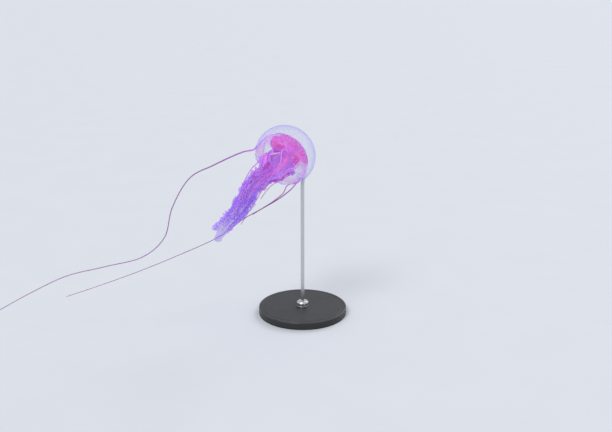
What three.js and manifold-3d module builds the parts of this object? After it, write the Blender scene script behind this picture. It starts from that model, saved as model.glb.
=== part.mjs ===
// Mauve stinger (Pelagia noctiluca): a still, life-size jellyfish on a plain display stand.
// Millimetres, +Z up. The origin is the centre of the stand's underside, on the floor.
// The animal swims up and back to the right. Its bell is built in the bell's own frame:
// local +Z runs from the mouth to the crown, and local +X points at the root of tentacle 1.
// Arms and tentacles trail free, so their routes are offsets from the bell's centre.

import * as THREE from 'three';
import { mergeVertices } from 'three/addons/utils/BufferGeometryUtils.js';
import Module from 'manifold-3d';

const wasm = await Module();
wasm.setup();

// ---------------------------------------------------------------- driving dimensions

// Where the bell is, and how it points. Angles are in degrees.
const BELL_CENTRE = [-22, -14, 225];
const SWIM_HEADING = 51;
const SWIM_RISE = 28;
const BELL_ROLL = 39;

// The bell's outside and its cavity are two flattened spheres. The cavity's is set lower,
// so the jelly is thick at the crown and thins to a knife edge at the rim.
const BELL_RADIUS = 39.6;
const CROWN_HEIGHT = 37.8;
const CAVITY_RADIUS = 36.1;
const CAVITY_HEIGHT = 30;
const CAVITY_DROP = 8.6;
const RIM_ANGLE = 115;
const BELL_SEGMENTS = 36;
const OUTSIDE_STEPS = 10;
const CAVITY_STEPS = 8;

// The rim's scalloped flaps hang in pairs, with a tentacle between one pair and the next.
const TENTACLE_COUNT = 8;
const LAPPET_LENGTH = 7.5;
const LAPPET_NOTCH = 1.6;
const LAPPET_THICKNESS = 0.95;
const TENTACLE_NOTCH_HALF_ANGLE = 3.2;

// The throat hangs from the cavity's roof. Its four corners carry the oral arms,
// and the four gonads lie on the roof between those corners.
const ARM_COUNT = 4;
const FIRST_ARM_ANGLE = 22.5;
const THROAT_TOP_RADIUS = 10.5;
const THROAT_END_RADIUS = 7.2;
const THROAT_END_HEIGHT = 6.6;
const THROAT_CORNER = 0.12;
const THROAT_DROPS = [0.25, 0.55, 1];
const GONAD_HALF_ANGLE = 41;
const GONAD_INNER_TILT = 21;
const GONAD_OUTER_TILT = 58;
const GONAD_THICKNESS = 7;
const GONAD_EDGE = 1.1;
const GONAD_FOLDS = 5;
const ROOF_GAP = 0.6;

// The oral arms hang as one bundle round a curved line, each in its own quarter.
const BUNDLE_START_HEIGHT = 6;
const BUNDLE_STRAIGHT = [-8, -20, -32];
const BUNDLE_TRAIL = [
  [-37, -41, -26],
  [-47, -52, -39],
  [-53, -59, -50],
  [-62, -67, -61],
  [-75, -73, -73],
  [-91, -81, -89],
];
const ARM_LENGTHS = ['upper', 'middle', 'lower'];
const ARM_REACH = [0.93, 0.98, 0.85, 0.92];
const ARM_TWIST = 22;
const ARM_STEPS = 31;
const ARM_STATIONS = [-1, -0.68, -0.34, 0, 0.34, 0.68, 1];
const ARM_MIDRIB = 3.0;
const ARM_FRILL_EDGE = 1.0;
const ARM_CLEARANCE = 0.5;
const ARM_TIP_WIDTH = 0.65;
const SCALLOP_DEPTH = 0.1;

// Phase of an arm's ruffles, in radians: along its length, from arm to arm, from edge to edge.
const RUFFLE_ALONG = 44;
const RUFFLE_BETWEEN_ARMS = 1.7;
const RUFFLE_BETWEEN_EDGES = 1.1;

// Tentacles: a slim round thread from the rim, thinner towards its tip.
const TENTACLE_ROOT_RADIUS = 1.1;
const TENTACLE_TIP_RADIUS = 0.55;
const TENTACLE_SIDES = 6;
const TENTACLE_ROOT_DROP = 6;
const TENTACLE_ROOT_TUCK = 0.4;

// The display stand: a round steel base, and one rod with a cup that the bell sits in.
const BASE_RADIUS = 60;
const BASE_THICKNESS = 10;
const BASE_CHAMFER = 1.2;
const BASE_SEGMENTS = 40;
const COLLAR_RADIUS = 8;
const COLLAR_HEIGHT = 7;
const COLLAR_BEVEL = 2;
const ROD_RADIUS = 2.5;
const CUP_RADIUS = 6.5;
const CUP_FOOT_RADIUS = 3.4;
const CUP_DEPTH = 5;
const CUP_SINK = 0.75;
const CUP_CLEARANCE = 0.4;
const ROUND_SEGMENTS = 24;

// Clearance between faces that meet.
const GAP = 0.3;

// ---------------------------------------------------------------- materials

const jelly = { color: 0x8f86e6, roughness: 0.15, metalness: 0 };
const frill = { color: 0xb05fd2, roughness: 0.35, metalness: 0 };
const thread = { color: 0xa35cb8, roughness: 0.4, metalness: 0 };
const ripeGonad = { color: 0xf05fc8, roughness: 0.4, metalness: 0 };
const blackSteel = { color: 0x1d1f24, roughness: 0.45, metalness: 0.4 };
const brushedSteel = { color: 0xb9bcc0, roughness: 0.3, metalness: 1 };

// ---------------------------------------------------------------- small maths

const radians = THREE.MathUtils.degToRad;
const vector = (point) => new THREE.Vector3(...point);
const polar = (radius, angle, height) =>
  new THREE.Vector3(radius * Math.cos(angle), radius * Math.sin(angle), height);

/** The bell's own frame, as a rotation from it to the model's. */
function bellTurn() {
  const heading = radians(SWIM_HEADING);
  const rise = radians(SWIM_RISE);
  const roll = radians(BELL_ROLL);
  const crown = polar(Math.cos(rise), heading, Math.sin(rise));
  const level = new THREE.Vector3(-Math.sin(heading), Math.cos(heading), 0);
  const upright = crown.clone().cross(level);
  const firstRoot = level.multiplyScalar(Math.cos(roll)).addScaledVector(upright, Math.sin(roll));
  const side = crown.clone().cross(firstRoot);
  return new THREE.Matrix4().makeBasis(firstRoot, side, crown);
}

const BELL_TURN = bellTurn();

/** A direction or offset of the bell's frame, in the model's axes. */
const turned = (offset) => offset.clone().applyMatrix4(BELL_TURN);

/** A value that passes smoothly through [place, value] knots. */
function blend(knots, place) {
  const last = knots.findIndex(([at]) => at >= place);
  if (last === 0) return knots[0][1];
  if (last < 0) return knots[knots.length - 1][1];
  const [[from, low], [to, high]] = knots.slice(last - 1, last + 1);
  return THREE.MathUtils.lerp(low, high, THREE.MathUtils.smoothstep(place, from, to));
}

/** Outside of the bell at an angle from the crown; depth moves it inwards. */
function outsidePoint(tilt, angle, depth = 0) {
  const radius = (BELL_RADIUS - depth) * Math.sin(tilt);
  return polar(radius, angle, (CROWN_HEIGHT - depth) * Math.cos(tilt));
}

/** Wall of the cavity at its own tilt from the roof; depth moves it into the cavity. */
function cavityPoint(tilt, angle, depth = 0) {
  const radius = (CAVITY_RADIUS - depth) * Math.sin(tilt);
  return polar(radius, angle, (CAVITY_HEIGHT - depth) * Math.cos(tilt) - CAVITY_DROP);
}

/** Height of the cavity's roof at a distance from the bell's axis. */
const roofHeight = (radius) => cavityPoint(Math.asin(radius / CAVITY_RADIUS), 0).z;

const RIM_HEIGHT = CROWN_HEIGHT * Math.cos(radians(RIM_ANGLE));

// ---------------------------------------------------------------- closed solids

/** One closed body from points and triangles, turned so that its faces point out. */
function closedBody(points, triangles) {
  const volume = triangles.reduce((sum, [a, b, c]) => {
    return sum + points[a].dot(points[b].clone().cross(points[c]));
  }, 0);
  const outward = volume > 0 ? triangles : triangles.map(([a, b, c]) => [a, c, b]);
  const geometry = new THREE.BufferGeometry().setFromPoints(points);
  geometry.setIndex(outward.flat());
  geometry.computeVertexNormals();
  return geometry;
}

/** A body through a row of rings that have the same number of points, capped at both ends. */
function loft(rings) {
  const around = rings[0].length;
  const points = rings.flat();
  const triangles = [];
  for (let row = 0; row + 1 < rings.length; row += 1) {
    for (let i = 0; i < around; i += 1) {
      const next = (i + 1) % around;
      const here = row * around;
      const there = here + around;
      triangles.push([here + i, here + next, there + next]);
      triangles.push([here + i, there + next, there + i]);
    }
  }
  const caps = [
    [0, [1, 0]],
    [rings.length - 1, [0, 1]],
  ];
  for (const [row, [first, second]] of caps) {
    const centre = points.length;
    const total = rings[row].reduce((sum, point) => sum.add(point), new THREE.Vector3());
    points.push(total.divideScalar(around));
    for (let i = 0; i < around; i += 1) {
      const pair = [row * around + i, row * around + ((i + 1) % around)];
      triangles.push([centre, pair[first], pair[second]]);
    }
  }
  return closedBody(points, triangles);
}

/** A curved plate between two faces, each a function of u and v from 0 to 1. */
function plate(uSteps, vSteps, frontFace, backFace) {
  const columns = vSteps + 1;
  const points = [];
  for (const face of [frontFace, backFace]) {
    for (let i = 0; i <= uSteps; i += 1) {
      for (let j = 0; j <= vSteps; j += 1) {
        points.push(face(i / uSteps, j / vSteps));
      }
    }
  }
  const back = (uSteps + 1) * columns;
  const triangles = [];
  const quad = (a, b, c, d) => triangles.push([a, b, c], [a, c, d]);
  for (let i = 0; i < uSteps; i += 1) {
    for (let j = 0; j < vSteps; j += 1) {
      const corner = i * columns + j;
      quad(corner, corner + columns, corner + columns + 1, corner + 1);
      quad(back + corner, back + corner + 1, back + corner + columns + 1, back + corner + columns);
    }
  }
  for (let i = 0; i < uSteps; i += 1) {
    const start = i * columns;
    const end = start + vSteps;
    quad(start, back + start, back + start + columns, start + columns);
    quad(end, end + columns, back + end + columns, back + end);
  }
  for (let j = 0; j < vSteps; j += 1) {
    const start = j;
    const end = uSteps * columns + j;
    quad(start, start + 1, back + start + 1, back + start);
    quad(end, back + end, back + end + 1, end + 1);
  }
  return closedBody(points, triangles);
}

/** A turned shape about +Z from [radius, height] points that start and end on the axis. */
function turnedShape(profile, segments) {
  const outline = profile.map(([radius, height]) => new THREE.Vector2(radius, height));
  return new THREE.LatheGeometry(outline, segments).rotateX(Math.PI / 2);
}

function toManifold(geometry) {
  const bare = geometry.clone();
  bare.deleteAttribute('normal');
  bare.deleteAttribute('uv');
  const merged = mergeVertices(bare, 1e-4);
  const vertProperties = merged.attributes.position.array;
  const triVerts = new Uint32Array(merged.index.array);
  return new wasm.Manifold(new wasm.Mesh({ numProp: 3, vertProperties, triVerts }));
}

function fromManifold(solid) {
  const { vertProperties, triVerts } = solid.getMesh();
  const geometry = new THREE.BufferGeometry();
  geometry.setAttribute('position', new THREE.BufferAttribute(vertProperties, 3));
  geometry.setIndex(new THREE.BufferAttribute(triVerts, 1));
  geometry.computeVertexNormals();
  return geometry;
}

function addPart(parent, name, geometry, look) {
  const mesh = new THREE.Mesh(geometry, new THREE.MeshStandardMaterial(look));
  mesh.name = name;
  parent.add(mesh);
  return mesh;
}

// ---------------------------------------------------------------- bell, in its own frame

/** The umbrella: a near sphere of clear jelly, open below, thick at the crown. */
function umbrella() {
  const rimTilt = Math.acos((RIM_HEIGHT + CAVITY_DROP) / CAVITY_HEIGHT);
  const profile = [];
  for (let i = 0; i <= CAVITY_STEPS; i += 1) {
    const point = cavityPoint((rimTilt * i) / CAVITY_STEPS, 0);
    profile.push([i === 0 ? 0 : point.x, point.z]);
  }
  for (let i = OUTSIDE_STEPS; i >= 0; i -= 1) {
    const point = outsidePoint((radians(RIM_ANGLE) * i) / OUTSIDE_STEPS, 0);
    profile.push([i === 0 ? 0 : point.x, point.z]);
  }
  return turnedShape(profile, BELL_SEGMENTS);
}

/** A pair of rounded rim flaps, joined at the shallow notch between them. */
function lappetPair(index) {
  const between = 360 / TENTACLE_COUNT;
  const startAngle = radians(between * index + TENTACLE_NOTCH_HALF_ANGLE);
  const endAngle = radians(between * (index + 1) - TENTACLE_NOTCH_HALF_ANGLE);
  const meanRadius = (BELL_RADIUS + CROWN_HEIGHT) / 2;
  const startTilt = (depth) => Math.acos((RIM_HEIGHT - GAP) / (CROWN_HEIGHT - depth));
  const squareness = 2.4;
  const fullness = 0.55;
  const face = (depth) => (u, v) => {
    const acrossLobe = u === 1 ? 1 : Math.abs(((u * 2) % 1) * 2 - 1);
    const round = (1 - acrossLobe ** squareness) ** fullness;
    const length = LAPPET_NOTCH + (LAPPET_LENGTH - LAPPET_NOTCH) * round;
    const tilt = startTilt(depth) + (v * length) / meanRadius;
    return outsidePoint(tilt, THREE.MathUtils.lerp(startAngle, endAngle, u), depth);
  };
  return plate(12, 2, face(0), face(LAPPET_THICKNESS));
}

/** The throat: a four-cornered column from the cavity's roof down to the oral arms. */
function throat() {
  const ring = (radius, heightAt) =>
    Array.from({ length: ROUND_SEGMENTS }, (_, i) => {
      const angle = (i / ROUND_SEGMENTS) * 2 * Math.PI;
      const corner = Math.cos(ARM_COUNT * (angle - radians(FIRST_ARM_ANGLE)));
      const reach = radius * (1 + THROAT_CORNER * corner);
      return polar(reach, angle, heightAt(reach));
    });
  const top = roofHeight(THROAT_TOP_RADIUS) - ROOF_GAP;
  const rings = [ring(THROAT_TOP_RADIUS, (reach) => roofHeight(reach) - ROOF_GAP)];
  for (const drop of THROAT_DROPS) {
    const radius = THREE.MathUtils.lerp(THROAT_TOP_RADIUS, THROAT_END_RADIUS, Math.sqrt(drop));
    rings.push(ring(radius, () => THREE.MathUtils.lerp(top, THROAT_END_HEIGHT, drop)));
  }
  return loft(rings);
}

/** A gonad: a puffed, folded cushion on the cavity's roof, between two corners of the throat. */
function gonad(index) {
  const middle = FIRST_ARM_ANGLE + (360 / ARM_COUNT) * (index + 0.5);
  const narrowing = 0.16;
  const bowing = 0.12;
  const puff = 0.6;
  const foldDepth = 0.14;
  const foldSlant = 4;
  const face = (isInner) => (u, v) => {
    const fromMiddle = u * 2 - 1;
    const outline = 1 - narrowing * Math.cos(v * 2 * Math.PI) ** 2;
    const angle = radians(middle + fromMiddle * GONAD_HALF_ANGLE * outline);
    const outwards = v + bowing * fromMiddle ** 2 * (1 - v);
    const tilt = radians(THREE.MathUtils.lerp(GONAD_INNER_TILT, GONAD_OUTER_TILT, outwards));
    if (!isInner) return cavityPoint(tilt, angle, ROOF_GAP);
    const swell = (Math.sin(Math.PI * u) * Math.sin(Math.PI * v)) ** puff;
    const fold = 1 + foldDepth * Math.sin(u * GONAD_FOLDS * 2 * Math.PI + v * foldSlant);
    const thickness = GONAD_EDGE + (GONAD_THICKNESS - GONAD_EDGE) * swell * fold;
    return cavityPoint(tilt, angle, ROOF_GAP + thickness);
  };
  return plate(8, 4, face(false), face(true));
}

// ---------------------------------------------------------------- oral arms

/** The line that the four arms hang round, and the two directions across it at each step. */
function bundleLine() {
  const along = (height) => turned(new THREE.Vector3(0, 0, height));
  const straight = [BUNDLE_START_HEIGHT, ...BUNDLE_STRAIGHT].map(along);
  const points = [...straight, ...BUNDLE_TRAIL.map(vector)];
  const curve = new THREE.CatmullRomCurve3(points, false, 'centripetal');
  const centres = curve.getSpacedPoints(ARM_STEPS);
  let across = turned(new THREE.Vector3(1, 0, 0));
  return centres.map((centre, step) => {
    const ahead = curve.getTangentAt(step / ARM_STEPS);
    across = across.clone().addScaledVector(ahead, -across.dot(ahead)).normalize();
    return { centre, across, side: across.clone().cross(ahead).normalize() };
  });
}

const BUNDLE = bundleLine();

// From the throat to the tip: how far an arm's middle rib stands off the bundle's line,
// how far its frilled edges flare outwards from that, and how deeply they ruffle.
const SPREAD = [[0, 5.6], [0.15, 16.5], [0.32, 8.6], [0.5, 6.8], [0.75, 6.4], [1, 8]];
const FLARE = [[0, 0.2], [0.15, 3.4], [0.5, 2.2], [1, 0.8]];
const RUFFLE = [[0, 0.1], [0.15, 2.4], [0.5, 1.7], [1, 0.6]];

/** One cross-section of an arm: a thick middle rib with a thin ruffled frill at each side. */
function armRing(index, step) {
  const { centre, across, side } = BUNDLE[step];
  const place = step / ARM_STEPS;
  const angle = radians(FIRST_ARM_ANGLE + (360 / ARM_COUNT) * index + ARM_TWIST * place);
  const outward = across.clone().multiplyScalar(Math.cos(angle));
  outward.addScaledVector(side, Math.sin(angle));
  const sideways = across.clone().multiplyScalar(-Math.sin(angle));
  sideways.addScaledVector(side, Math.cos(angle));
  const reach = ARM_REACH[index];
  const tipTaper = blend([[0, 1], [reach - 0.3, 1], [reach, ARM_TIP_WIDTH]], place);
  const spread = blend(SPREAD, place);
  const flare = blend(FLARE, place);
  const ruffle = blend(RUFFLE, place);
  const phase = place * RUFFLE_ALONG + index * RUFFLE_BETWEEN_ARMS;
  const wave = (hand) => Math.sin(phase + hand * RUFFLE_BETWEEN_EDGES);
  const scallop = (hand) => 1 + SCALLOP_DEPTH * Math.cos(phase - hand);
  const quarterRoom = spread + flare - ruffle - ARM_FRILL_EDGE / 2 - ARM_CLEARANCE;
  const halfWidth = (quarterRoom / (1 + SCALLOP_DEPTH)) * tipTaper;
  const ribThickness = ARM_MIDRIB * Math.sqrt(tipTaper);
  const station = (position, face) => {
    const hand = Math.sign(position);
    const lean = Math.abs(position);
    const thickness = THREE.MathUtils.lerp(ribThickness, ARM_FRILL_EDGE, lean ** 0.7);
    const rise = lean ** 1.5 * (flare + ruffle * wave(hand));
    return centre
      .clone()
      .addScaledVector(outward, spread + rise + (face * thickness) / 2)
      .addScaledVector(sideways, position * halfWidth * scallop(hand));
  };
  const outerFace = ARM_STATIONS.map((position) => station(position, 1));
  const innerFace = ARM_STATIONS.map((position) => station(position, -1)).reverse();
  return [...outerFace, ...innerFace];
}

/** One length of an arm, from one step to another, drawn back a little from its neighbours. */
function armLength(index, firstStep, lastStep) {
  const rings = [];
  for (let step = firstStep; step <= lastStep; step += 1) {
    rings.push(armRing(index, step));
  }
  const rib = (ARM_STATIONS.length - 1) / 2;
  const drawBack = (end, next) => {
    const share = GAP / end[rib].distanceTo(next[rib]);
    end.forEach((point, i) => point.lerp(next[i], share));
  };
  drawBack(rings[0], rings[1]);
  drawBack(rings[rings.length - 1], rings[rings.length - 2]);
  return loft(rings);
}

// ---------------------------------------------------------------- tentacles

// Each tentacle's number of lengths and rings, and its route after the rim, as offsets from
// the bell's centre. The first and fifth are let out long; the others are drawn up short.
const TENTACLES = [
  {
    lengths: 5,
    step: 11,
    route: [
      [-54, -12, 7],
      [-90, -30, -6],
      [-118, -41, -19],
      [-140, -54, -54],
      [-151, -61, -92],
      [-178, -63, -116],
      [-226, -64, -129],
      [-277, -64, -142],
      [-325, -65, -165],
      [-372, -67, -191],
    ],
  },
  { lengths: 2, step: 7, route: [[-27, -40, 10], [-33, -55, -7], [-41, -68, -22], [-50, -76, -37]] },
  { lengths: 2, step: 7, route: [[-5, -52, 3], [-16, -66, -12], [-27, -76, -27]] },
  { lengths: 2, step: 7, route: [[5, -45, -8], [-6, -54, -18], [-19, -62, -27], [-29, -70, -39]] },
  {
    lengths: 4,
    step: 11,
    route: [
      [8, -26, -38],
      [-6, -28, -49],
      [-30, -27, -64],
      [-53, -28, -77],
      [-83, -38, -97],
      [-142, -59, -119],
      [-182, -69, -133],
      [-227, -76, -148],
      [-275, -79, -164],
    ],
  },
  { lengths: 2, step: 7, route: [[-3, -2, -50], [-16, -6, -60], [-30, -11, -68], [-43, -14, -76]] },
  { lengths: 2, step: 7, route: [[-29, 9, -45], [-38, 3, -60], [-48, -7, -74], [-58, -19, -88]] },
  { lengths: 2, step: 7, route: [[-44, 7, -19], [-54, -1, -35], [-61, -12, -53], [-72, -27, -71]] },
];

/** The middle line of a tentacle, from the notch between two lappet pairs to its tip. */
function tentacleLine(index) {
  const angle = radians((360 / TENTACLE_COUNT) * index);
  const rootRadius = BELL_RADIUS * Math.sin(radians(RIM_ANGLE)) - LAPPET_THICKNESS / 2;
  const root = polar(rootRadius, angle, RIM_HEIGHT - GAP);
  const clearRadius = rootRadius - TENTACLE_ROOT_TUCK;
  const clearOfRim = polar(clearRadius, angle, RIM_HEIGHT - TENTACLE_ROOT_DROP);
  const points = [turned(root), turned(clearOfRim), ...TENTACLES[index].route.map(vector)];
  return new THREE.CatmullRomCurve3(points, false, 'centripetal');
}

/** The tentacle cut into its lengths, each a tapering tube. */
function tentacleLengths(index) {
  const { lengths, step } = TENTACLES[index];
  const curve = tentacleLine(index);
  const total = curve.getLength();
  const bodies = [];
  for (let part = 0; part < lengths; part += 1) {
    const start = part / lengths + (part > 0 ? GAP / 2 / total : 0);
    const end = (part + 1) / lengths - (part + 1 < lengths ? GAP / 2 / total : 0);
    const steps = Math.max(4, Math.round(((end - start) * total) / step));
    let across = turned(polar(1, radians((360 / TENTACLE_COUNT) * index + 90), 0));
    const rings = [];
    for (let i = 0; i <= steps; i += 1) {
      const place = start + ((end - start) * i) / steps;
      const centre = curve.getPointAt(place);
      const ahead = curve.getTangentAt(place);
      across = across.clone().addScaledVector(ahead, -across.dot(ahead)).normalize();
      const side = across.clone().cross(ahead);
      const radius = THREE.MathUtils.lerp(TENTACLE_ROOT_RADIUS, TENTACLE_TIP_RADIUS, place ** 0.7);
      const ring = Array.from({ length: TENTACLE_SIDES }, (_, k) => {
        const turn = (k / TENTACLE_SIDES) * 2 * Math.PI;
        return centre
          .clone()
          .addScaledVector(across, radius * Math.cos(turn))
          .addScaledVector(side, radius * Math.sin(turn));
      });
      rings.push(ring);
    }
    bodies.push(loft(rings));
  }
  return bodies;
}

// ---------------------------------------------------------------- display stand

/** The round base, with its upper and lower edges chamfered. */
function standBase() {
  return turnedShape(
    [
      [0, 0],
      [BASE_RADIUS - BASE_CHAMFER / 2, 0],
      [BASE_RADIUS, BASE_CHAMFER / 2],
      [BASE_RADIUS, BASE_THICKNESS - BASE_CHAMFER],
      [BASE_RADIUS - BASE_CHAMFER, BASE_THICKNESS],
      [0, BASE_THICKNESS],
    ],
    BASE_SEGMENTS,
  );
}

/** The collar that clamps the rod's foot: a ring round the rod, standing on the base. */
function standCollar() {
  const bottom = BASE_THICKNESS + GAP;
  const top = bottom + COLLAR_HEIGHT;
  const bore = ROD_RADIUS + GAP;
  return turnedShape(
    [
      [bore, bottom],
      [COLLAR_RADIUS, bottom],
      [COLLAR_RADIUS, top - COLLAR_BEVEL],
      [COLLAR_RADIUS - COLLAR_BEVEL, top],
      [bore, top],
      [bore, bottom],
    ],
    ROUND_SEGMENTS,
  );
}

/** The point above the base's centre where the bell's outside is lowest. */
function cupSeat() {
  const toBell = BELL_TURN.clone().transpose();
  const below = new THREE.Vector3(-BELL_CENTRE[0], -BELL_CENTRE[1], 0);
  const scaled = (offset) => {
    const local = offset.clone().applyMatrix4(toBell);
    return new THREE.Vector3(local.x / BELL_RADIUS, local.y / BELL_RADIUS, local.z / CROWN_HEIGHT);
  };
  const start = scaled(below);
  const drop = scaled(new THREE.Vector3(0, 0, 1));
  const half = start.dot(drop) / drop.lengthSq();
  const height = -half - Math.sqrt(half ** 2 - (start.lengthSq() - 1) / drop.lengthSq());
  const seat = below.setZ(height);
  const steepest = seat.clone().applyMatrix4(toBell);
  steepest.divide(new THREE.Vector3(BELL_RADIUS ** 2, BELL_RADIUS ** 2, CROWN_HEIGHT ** 2));
  const normal = turned(steepest).normalize();
  return { seat: seat.add(vector(BELL_CENTRE)), normal };
}

/** The rod, and the shallow cup at its top that is hollowed to the bell's curve. */
function standRod() {
  const { seat, normal } = cupSeat();
  const bottom = BASE_THICKNESS + GAP;
  const rod = new THREE.CylinderGeometry(ROD_RADIUS, ROD_RADIUS, seat.z - bottom, ROUND_SEGMENTS);
  rod.rotateX(Math.PI / 2).translate(0, 0, (seat.z + bottom) / 2);
  const cup = new THREE.CylinderGeometry(CUP_RADIUS, CUP_FOOT_RADIUS, CUP_DEPTH, ROUND_SEGMENTS);
  const towardsBell = normal.negate();
  const lean = new THREE.Quaternion().setFromUnitVectors(new THREE.Vector3(0, 1, 0), towardsBell);
  cup.translate(0, -CUP_SINK, 0).applyQuaternion(lean).translate(seat.x, seat.y, seat.z);
  const hollow = new THREE.SphereGeometry(1, 2 * BELL_SEGMENTS, BELL_SEGMENTS).rotateX(Math.PI / 2);
  const hollowRadius = BELL_RADIUS + CUP_CLEARANCE;
  hollow.scale(hollowRadius, hollowRadius, CROWN_HEIGHT + CUP_CLEARANCE);
  hollow.applyMatrix4(BELL_TURN).translate(...BELL_CENTRE);
  return fromManifold(toManifold(rod).add(toManifold(cup)).subtract(toManifold(hollow)));
}

// ---------------------------------------------------------------- the whole model

const model = new THREE.Group();

const bell = new THREE.Group();
bell.setRotationFromMatrix(BELL_TURN);
bell.position.set(...BELL_CENTRE);
model.add(bell);

addPart(bell, 'umbrella', umbrella(), jelly);
for (let i = 0; i < TENTACLE_COUNT; i += 1) {
  addPart(bell, `lappet_pair_${i + 1}`, lappetPair(i), jelly);
}
addPart(bell, 'throat', throat(), frill);
for (let i = 0; i < ARM_COUNT; i += 1) {
  addPart(bell, `gonad_${i + 1}`, gonad(i), ripeGonad);
}

const trailing = new THREE.Group();
trailing.position.set(...BELL_CENTRE);
model.add(trailing);

for (let arm = 0; arm < ARM_COUNT; arm += 1) {
  const steps = Math.round(ARM_STEPS * ARM_REACH[arm]);
  ARM_LENGTHS.forEach((lengthName, i) => {
    const first = Math.round((steps * i) / ARM_LENGTHS.length);
    const last = Math.round((steps * (i + 1)) / ARM_LENGTHS.length);
    addPart(trailing, `oral_arm_${arm + 1}_${lengthName}`, armLength(arm, first, last), frill);
  });
}

for (let i = 0; i < TENTACLE_COUNT; i += 1) {
  tentacleLengths(i).forEach((body, part) => {
    addPart(trailing, `tentacle_${i + 1}_length_${part + 1}`, body, thread);
  });
}

addPart(model, 'stand_base', standBase(), blackSteel);
addPart(model, 'stand_collar', standCollar(), brushedSteel);
addPart(model, 'stand_rod', standRod(), brushedSteel);

export default model;
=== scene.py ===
import math
import random

import bmesh
import bpy
import numpy as np
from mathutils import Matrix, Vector


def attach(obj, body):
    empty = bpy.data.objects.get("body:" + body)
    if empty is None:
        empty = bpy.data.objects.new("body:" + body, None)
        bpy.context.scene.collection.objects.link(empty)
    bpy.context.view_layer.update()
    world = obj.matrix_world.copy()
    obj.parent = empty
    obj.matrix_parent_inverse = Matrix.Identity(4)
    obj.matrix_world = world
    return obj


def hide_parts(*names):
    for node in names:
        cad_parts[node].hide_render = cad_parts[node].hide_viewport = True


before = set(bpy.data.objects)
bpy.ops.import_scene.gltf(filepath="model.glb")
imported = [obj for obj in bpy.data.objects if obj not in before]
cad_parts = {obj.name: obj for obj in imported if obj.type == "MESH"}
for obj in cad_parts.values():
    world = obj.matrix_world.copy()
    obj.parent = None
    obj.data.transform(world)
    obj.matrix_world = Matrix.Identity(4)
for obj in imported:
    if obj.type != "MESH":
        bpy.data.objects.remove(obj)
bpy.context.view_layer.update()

# ---- bell
# The bell is a near sphere of clear jelly, open below. Its cavity is set low, so the jelly
# is thick at the crown and thins towards the rim, where sixteen scalloped flaps hang in
# pairs. It is built in its own frame: local Z points at the crown, X at the first tentacle.

BELL_CENTRE = np.array([-22.0, -14.0, 225.0])
SWIM_HEADING = math.radians(51)
SWIM_RISE = math.radians(28)
BELL_ROLL = math.radians(39)
BELL_RADIUS = 39.6
CROWN_HEIGHT = 37.8
CAVITY_RADIUS = 36.1
CAVITY_HEIGHT = 30.0
CAVITY_DROP = 8.6
RIM_TILT = math.radians(115)
CAVITY_RIM_TILT = math.radians(101.5)
FLAP_TOP_TILT = math.radians(114.3)
LAPPET_LENGTH = 7.5
LAPPET_NOTCH = 1.6
LAPPET_THICKNESS = 0.95
LAPPET_SQUARENESS = 2.4
LAPPET_FULLNESS = 0.55
TENTACLE_NOTCH = math.radians(3.2)
TENTACLES = 8
POUCHES = 16
POUCH_DEPTH = 0.55
ARMS = 4
FIRST_ARM = math.radians(22.5)
THROAT_CORNER = 0.12
ROOF_RING_RADIUS = 15.2
BELL_COLUMNS = 176
NOTCH_CROWDING = 0.55
OUTSIDE_ROWS = 62
EDGE_ROWS = 3
FLAP_ROWS = 5
CAVITY_ROWS = 28
WALL_DENSITY = 0.04
SEPTUM_DENSITY = 0.07
MUSCLE_DENSITY = 0.26
ROOF_DENSITY = 0.28
WALL_PINK = 0.65
MUSCLE_PINK = 0.5
ROOF_PINK = 0.3
MM = 0.001


def bell_axes():
    """The bell's own X, Y and Z, as rows in the frame's axes."""
    ahead = np.array([math.cos(SWIM_HEADING), math.sin(SWIM_HEADING), 0])
    level = np.array([-math.sin(SWIM_HEADING), math.cos(SWIM_HEADING), 0])
    crown = ahead * math.cos(SWIM_RISE) + np.array([0, 0, math.sin(SWIM_RISE)])
    upright = np.cross(crown, level)
    root = level * math.cos(BELL_ROLL) + upright * math.sin(BELL_ROLL)
    return np.array([root, np.cross(crown, root), crown])


AXES = bell_axes()


def in_frame(points):
    """Points of the bell's own frame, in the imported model's."""
    return points @ AXES + BELL_CENTRE


def polar(radius, angle, height):
    """Points in the bell's frame from a distance off its axis, an angle and a height."""
    radius, angle, height = np.broadcast_arrays(radius, angle, height)
    return np.stack([radius * np.cos(angle), radius * np.sin(angle), height], -1)


def outside(tilt, angle, depth=0.0):
    """The bell's outside at a tilt from the crown; depth moves it inwards."""
    radius = (BELL_RADIUS - depth) * np.sin(tilt)
    return polar(radius, angle, (CROWN_HEIGHT - depth) * np.cos(tilt))


def cavity(tilt, angle, depth=0.0):
    """The cavity's wall at its own tilt from the roof; depth moves it into the cavity."""
    radius = (CAVITY_RADIUS - depth) * np.sin(tilt)
    return polar(radius, angle, (CAVITY_HEIGHT - depth) * np.cos(tilt) - CAVITY_DROP)


def rise(low, high, place):
    """Goes from 0 at low to 1 at high, level at both ends."""
    share = np.clip((np.asarray(place, float) - low) / (high - low), 0, 1)
    return share * share * (3 - 2 * share)


def between(low, high, share):
    """What lies this share of the way from low to high."""
    return low + (high - low) * share


def flap_length(angle):
    """How far the flaps reach past the rim: two round lobes from tentacle to tentacle."""
    sector = math.tau / TENTACLES
    share = (np.mod(angle, sector) - TENTACLE_NOTCH) / (sector - 2 * TENTACLE_NOTCH)
    across_lobe = np.abs(np.mod(share * 2, 1) * 2 - 1)
    lobe = np.clip(1 - across_lobe**LAPPET_SQUARENESS, 0, 1) ** LAPPET_FULLNESS
    length = between(LAPPET_NOTCH, LAPPET_LENGTH, lobe)
    return np.where((share > 0) & (share < 1), length, 0.0)


def corners(angle):
    """Where the throat's four corners are: 1 at a corner, -1 half-way to the next."""
    return np.cos(ARMS * (angle - FIRST_ARM))


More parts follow.
